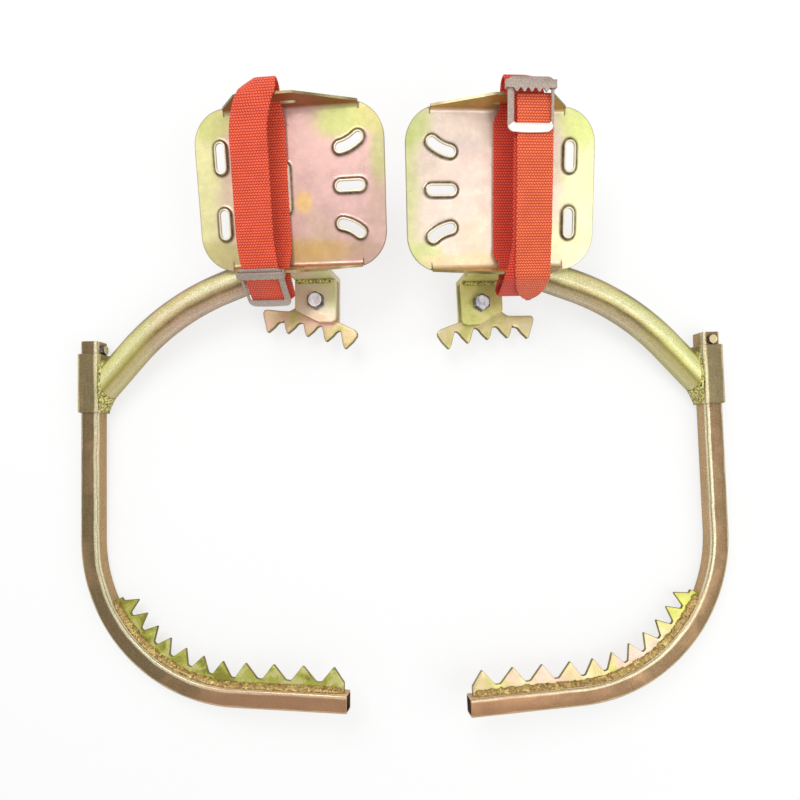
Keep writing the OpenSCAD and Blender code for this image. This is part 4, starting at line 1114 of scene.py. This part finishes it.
def buckle_frame(side):
    """Pressed frame: a rounded flat section carried round between the window's outline and
    the outer one, the near bar bellied outwards."""
    outer = round_box(BUCKLE_W, BUCKLE_L, 6)
    inner = round_box(WINDOW, WINDOW_L, 2) - (1.7, 0)
    near = np.clip((-outer[:, 1] - WINDOW_L / 2) / BUCKLE_BAR, 0, 1)
    outer[:, 1] -= 1.2 * near * (1 - (outer[:, 0] / (BUCKLE_W / 2)) ** 2)
    section = np.array([(0, 0.5), (0, 1.5), (0.07, 1.9), (0.25, 2.0), (0.75, 2.0), (0.93, 1.9),
                        (1, 1.5), (1, 0.5), (0.93, 0.1), (0.07, 0.1)])
    flat = inner[:, None] + (outer - inner)[:, None] * section[:, :1]
    points = np.dstack([flat, section[:, 1] + 0 * flat[..., 0]]).reshape(-1, 3)
    shine = np.repeat((near > 0.35) * BAR_SHINE[side], len(section))
    return put(side, "buckle_pressed_frame", points, grid(len(outer), len(section))[0],
               [BUCKLE], place=buckle_place(side), sharp=50, marks={"shine": shine})


def buckle_bar(side):
    """Toothed bar: a plate with a wavy edge, its ends wrapped round the frame's side bars."""
    low, high = WINDOW_L / 2 - 3, WINDOW_L / 2 + 4
    half, top, under = BUCKLE_W / 2 + BAR_GAP, BUCKLE_T + BAR_GAP, -BAR_GAP
    x = np.linspace(-WINDOW / 2, WINDOW / 2, 81)
    depth = TOOTH_DEPTH[side]
    wave = low - depth + depth * np.cos((x / (WINDOW / BAR_TEETH) + 0.5) * 2 * math.pi)
    edge = np.vstack([[(-half, low)], np.stack([x, wave], 1), [(half, low)], [(half, high)],
                      [(-half, high)]])
    plate = cut_plate(side, "buckle_toothed_bar", edge, top + BUCKLE_T, BUCKLE_T, [BUCKLE],
                      edge=0.4, step=3.0, place=buckle_place(side))
    hook = [(half - 0.01, top), (half - 0.01, under), (half - WRAP_IN, under),
            (half - WRAP_IN, under - WRAP_T), (half + WRAP_T, under - WRAP_T),
            (half + WRAP_T, top + BUCKLE_T), (half - 0.01, top + BUCKLE_T)]
    wraps = [put(side, "buckle_wrap_" + letter, [(sign * x, y, z) for y in (low, high)
                                                 for x, z in hook],
                 capped(2, len(hook)), [BUCKLE], place=buckle_place(side))
             for letter, sign in (("a", -1), ("b", 1))]
    return [plate, *wraps]


# Materials of each piece: place along the noise or round the tube, red, green and blue

BORE = plated("tube_bore", [(0.3, 60, 48, 30), (0.5, 98, 80, 50), (0.7, 140, 118, 72)],
              0.35, 0.5)
PEDAL_EDGE = plated("pedal_cut_edge", [(0.3, 112, 96, 58), (0.5, 148, 130, 84),
                                       (0.7, 196, 184, 138)], 0.4)
PLATE_RIM = plated("plate_rim_zinc", [(0.3, 96, 86, 44), (0.5, 130, 116, 64),
                                      (0.7, 172, 158, 98)], 0.4)
GOLD_WELD = weld_finish("gold_weld", [(0.32, 132, 112, 60), (0.46, 186, 172, 98),
                                      (0.58, 222, 222, 134), (0.72, 246, 242, 190)], 0.95)
STRIP_WELD = weld_finish("strip_weld", [(0.32, 132, 98, 60), (0.46, 170, 136, 84),
                                        (0.58, 196, 170, 98), (0.68, 244, 232, 150)], 0.5)
BRIGHT = bright_zinc("bright_bolt_zinc", [(0.3, 206, 203, 198), (0.5, 228, 226, 224),
                                          (0.7, 248, 248, 248)])
# Bolts' undersides, flanks and chamfers: darker zinc, painted shade round each head
BOLT_SIDE_SHADE = bright_zinc("bolt_side_shade_zinc", [(0.36, 52, 44, 36), (0.5, 92, 86, 80),
                                           (0.64, 168, 164, 160)])
BOLT_FACE = {
    "left": bright_zinc("left_bolt_face_zinc", [(0.3, 226, 222, 226), (0.6, 252, 248, 252)],
                        0.15),
    "right": bright_zinc("right_bolt_face_zinc", [(0.34, 132, 134, 140), (0.46, 196, 198, 214),
                                                  (0.62, 238, 240, 250)], 0.2),
}
STOP_FACE = plated("stop_bolt_zinc", [(0.34, 190, 164, 112), (0.5, 222, 200, 152),
                                      (0.66, 244, 230, 190)], 0.35)
BUCKLE = buckle_finish()


def square_shaded_bands(face, inner, outer, light, under=(190, 160, 116)):
    """Tone stops round a square tube, painted light and shade: a tone for the inner face, top,
    outer face and bottom as each is lit, and a painted highlight, a pale double line, where a
    corner turns."""
    rows = [(0.0, inner), (0.078, inner), (0.094, light), (0.116, light), (0.126, face),
            (0.136, light), (0.162, light), (0.178, face), (0.345, face), (0.36, light),
            (0.376, outer), (0.388, light), (0.405, outer), (0.60, outer), (0.625, light),
            (0.65, under), (0.85, under), (0.875, light), (0.9, inner), (1.0, inner)]
    return [(place, *paint) for place, paint in rows]


# Hooks and sleeves: each face's tone is painted light and shade, and the pale corner lines are
# painted highlights
HOOK_PLATING = {
    "left": banded("left_hook_zinc", square_shaded_bands((138, 116, 80), (190, 156, 104),
                                                  (200, 180, 124), (244, 234, 194)),
                   blush=(0.36, 0.5, 0.42, (214, 152, 116))),
    "right": banded("right_hook_zinc", square_shaded_bands((148, 118, 80), (198, 164, 116),
                                                    (206, 190, 130), (244, 234, 194)),
                    blush=(0.38, 0.54, 0.4, (196, 138, 100))),
}
SLEEVE_PLATING = {
    side: banded(side + "_sleeve_zinc", square_shaded_bands((146, 130, 90), (180, 166, 96),
                                                     (196, 178, 120), (240, 228, 178)))
    for side in SIDES}
# Round the arm tube, from its outer side over the top: place, then each side's tone. The tones are
# painted light and shade: darker towards the tube's sides, with pale painted highlights on its
# upper half
ARM_SHADED_BANDS = [
    (0.0, (104, 90, 56), (106, 94, 56)), (0.05, (140, 124, 80), (142, 128, 80)),
    (0.075, (206, 190, 138), (208, 198, 138)), (0.095, (112, 96, 60), (116, 102, 60)),
    (0.135, (146, 130, 84), (150, 138, 84)), (0.165, (222, 208, 144), (224, 216, 140)),
    (0.2, (250, 242, 176), (246, 244, 168)), (0.26, (255, 246, 204), (254, 250, 200)),
    (0.30, (214, 190, 132), (214, 202, 132)), (0.335, (138, 112, 74), (140, 122, 76)),
    (0.37, (214, 178, 142), (206, 184, 134)), (0.43, (222, 200, 178), (220, 206, 170)),
    (0.5, (186, 158, 126), (184, 164, 120)), (1.0, (112, 98, 62), (112, 100, 60)),
]
ARM_BLUSH = {"left": (0.11, 0.03, 0.26, (218, 226, 96)),
             "right": (0.1, 0.03, 0.22, (218, 226, 100))}
ARM_PLATING = {
    side: banded(side + "_arm_zinc", [(row[0], *row[1 + k]) for row in ARM_SHADED_BANDS], 0.3,
                 ARM_BLUSH[side])
    for k, side in enumerate(SIDES)}
TEETH_PLATING = {
    "left": plated("left_teeth_zinc", [(0.38, 164, 160, 66), (0.5, 202, 202, 92),
                                       (0.62, 234, 230, 148)], speck=0.3, scale=44.0),
    "right": plated("right_teeth_zinc", [(0.36, 214, 208, 120), (0.44, 232, 212, 160),
                                         (0.52, 238, 208, 188), (0.66, 240, 214, 200)],
                    speck=0.2, scale=16.0, ahead=(-0.25, -0.2, (212, 216, 96))),
}
CLAW_PLATING = {
    "left": plated("left_claw_zinc", [(0.36, 214, 206, 118), (0.47, 238, 208, 160),
                                      (0.58, 248, 202, 178)], 0.32, speck=0.2),
    "right": plated("right_claw_zinc", [(0.34, 200, 194, 112), (0.5, 226, 208, 152),
                                        (0.66, 236, 218, 178)], 0.4, speck=0.2),
}
BRACKET_PLATING = {
    "left": plated("left_bracket_zinc", [(0.34, 236, 232, 176), (0.5, 244, 232, 202),
                                         (0.66, 252, 214, 176)], 0.35),
    "right": plated("right_bracket_zinc", [(0.34, 196, 192, 104), (0.5, 218, 216, 132),
                                           (0.66, 238, 226, 160)], 0.4),
}
# Webbing tones: a stitch's slope, the painted shade in the valley round it and the painted
# highlight along its crest
STRAP_TONES = {
    "left": ((238, 72, 36), (164, 30, 14), (252, 116, 72)),
    "right": ((222, 48, 24), (140, 20, 10), (240, 86, 50)),
    "tail": ((238, 90, 44), (168, 44, 20), (252, 134, 82)),
}


# Building both climbers

# The pieces of each body: each stands for the node of its name
PIECES = {
    "frame": {"pedal": pedal, "arm_tube": arm_tube, "sleeve": sleeve, "sleeve_weld": sleeve_weld,
              "bracket_weld": bracket_weld, "claw_bolt": claw_bolt,
              "buckle_frame": buckle_frame},
    "hook": {"hook_tube": hook_tube, "hook_teeth": hook_teeth, "hook_weld": hook_weld,
             "stop_bolt": stop_bolt},
    "claw": {"claw": claw},
}


for side in SIDES:
    own = side + "_"
    built = {}
    for body, pieces in PIECES.items():
        for node, make in pieces.items():
            built[node] = make(side)
            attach(built[node], own + body)
            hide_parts(own + node)
    web, run = strap(side)
    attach(web, own + "frame")
    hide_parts(own + "strap")
    if side == "right":
        tail, tail_run = strap_tail(side)
        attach(tail, own + "frame")
        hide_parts(own + "strap_tail")
    bars = buckle_bar(side)
    for obj in bars:
        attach(obj, own + "buckle_bar")
    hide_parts(own + "buckle_bar")
    kept = {"claw_bracket": BRACKET_PLATING[side], "claw_nut": BRIGHT, "claw_spacers": BRIGHT,
            "stop_nut": BRIGHT, "pedal_weld": GOLD_WELD}
    for node, material in kept.items():
        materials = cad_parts[own + node].data.materials
        materials.clear()
        materials.append(material)


# White sweep, light and camera

FLOOR_HALF, FLOOR_GREY, FLOOR_GLOW, ROOM_LIGHT = 4.0, 0.93, 0.72, 0.62
CAMERA_PLACE, CAMERA_TURN = (-0.00208, -0.05393, 0.75998), (0.623, 0.129, 0.203)
CAMERA_LENS, CAMERA_RISE = 31.41, 0.0734


def ground():
    """Plain white floor that reads pure white to the camera and keeps a soft shadow."""
    white = Finish("white_sweep", 0.0)
    feed(white.tree, white.shader, {"Base Color": (FLOOR_GREY, FLOOR_GREY, FLOOR_GREY, 1),
                                    "Roughness": 0.9, "Specular IOR Level": 0.1})
    seen = white.node("LightPath").outputs["Is Camera Ray"]
    glow = white.node("Emission", {"Strength": 1.0}).outputs[0]
    both = white.node("MixShader", (white.math("MULTIPLY", seen, FLOOR_GLOW),
                                    white.shader.outputs[0], glow)).outputs[0]
    feed(white.tree, white.tree.nodes["Material Output"], {"Surface": both})
    mesh = bpy.data.meshes.new("white_sweep")
    mesh.from_pydata([(x * FLOOR_HALF, y * FLOOR_HALF, 0) for x, y in CORNERS], [],
                     [(0, 1, 2, 3)])
    mesh.materials.append(white.material)
    obj = bpy.data.objects.new("white_sweep", mesh)
    bpy.context.scene.collection.objects.link(obj)


def surroundings():
    """White all round: dimmer as light than as the background that the camera sees."""
    world = bpy.data.worlds.new("white_room")
    bpy.context.scene.world = world
    world.use_nodes = True
    tree = world.node_tree
    tree.nodes.clear()
    light, seen = (add_node(tree, "Background", {"Color": (1, 1, 1, 1), "Strength": strength})
                   for strength in (ROOM_LIGHT, 1.0))
    camera_ray = add_node(tree, "LightPath").outputs["Is Camera Ray"]
    either = add_node(tree, "MixShader", (camera_ray, light.outputs[0], seen.outputs[0]))
    add_node(tree, "OutputWorld", {"Surface": either.outputs[0]})


def lamp(name, place, size, watts):
    """A square panel that faces the origin."""
    data = bpy.data.lights.new(name, "AREA")
    data.shape = "SQUARE"
    data.size = size
    data.energy = watts
    obj = bpy.data.objects.new(name, data)
    obj.location = place
    obj.rotation_euler = (-Vector(place)).to_track_quat("-Z", "Y").to_euler()
    bpy.context.scene.collection.objects.link(obj)


ground()
surroundings()
lamp("key_panel", (-0.5, 0.9, 1.5), 0.9, 13.0)
lamp("fill_panel", (0.9, -0.3, 1.3), 1.1, 7.0)

camera_data = bpy.data.cameras.new("photo_camera")
camera_data.lens = CAMERA_LENS
camera_data.sensor_width = 36.0
camera_data.shift_y = CAMERA_RISE
camera_data.clip_start = 0.01
camera = bpy.data.objects.new("photo_camera", camera_data)
camera.location = CAMERA_PLACE
camera.rotation_euler = [math.radians(a) for a in CAMERA_TURN]
bpy.context.scene.collection.objects.link(camera)
bpy.context.scene.camera = camera
bpy.context.scene.view_settings.view_transform = "Standard"
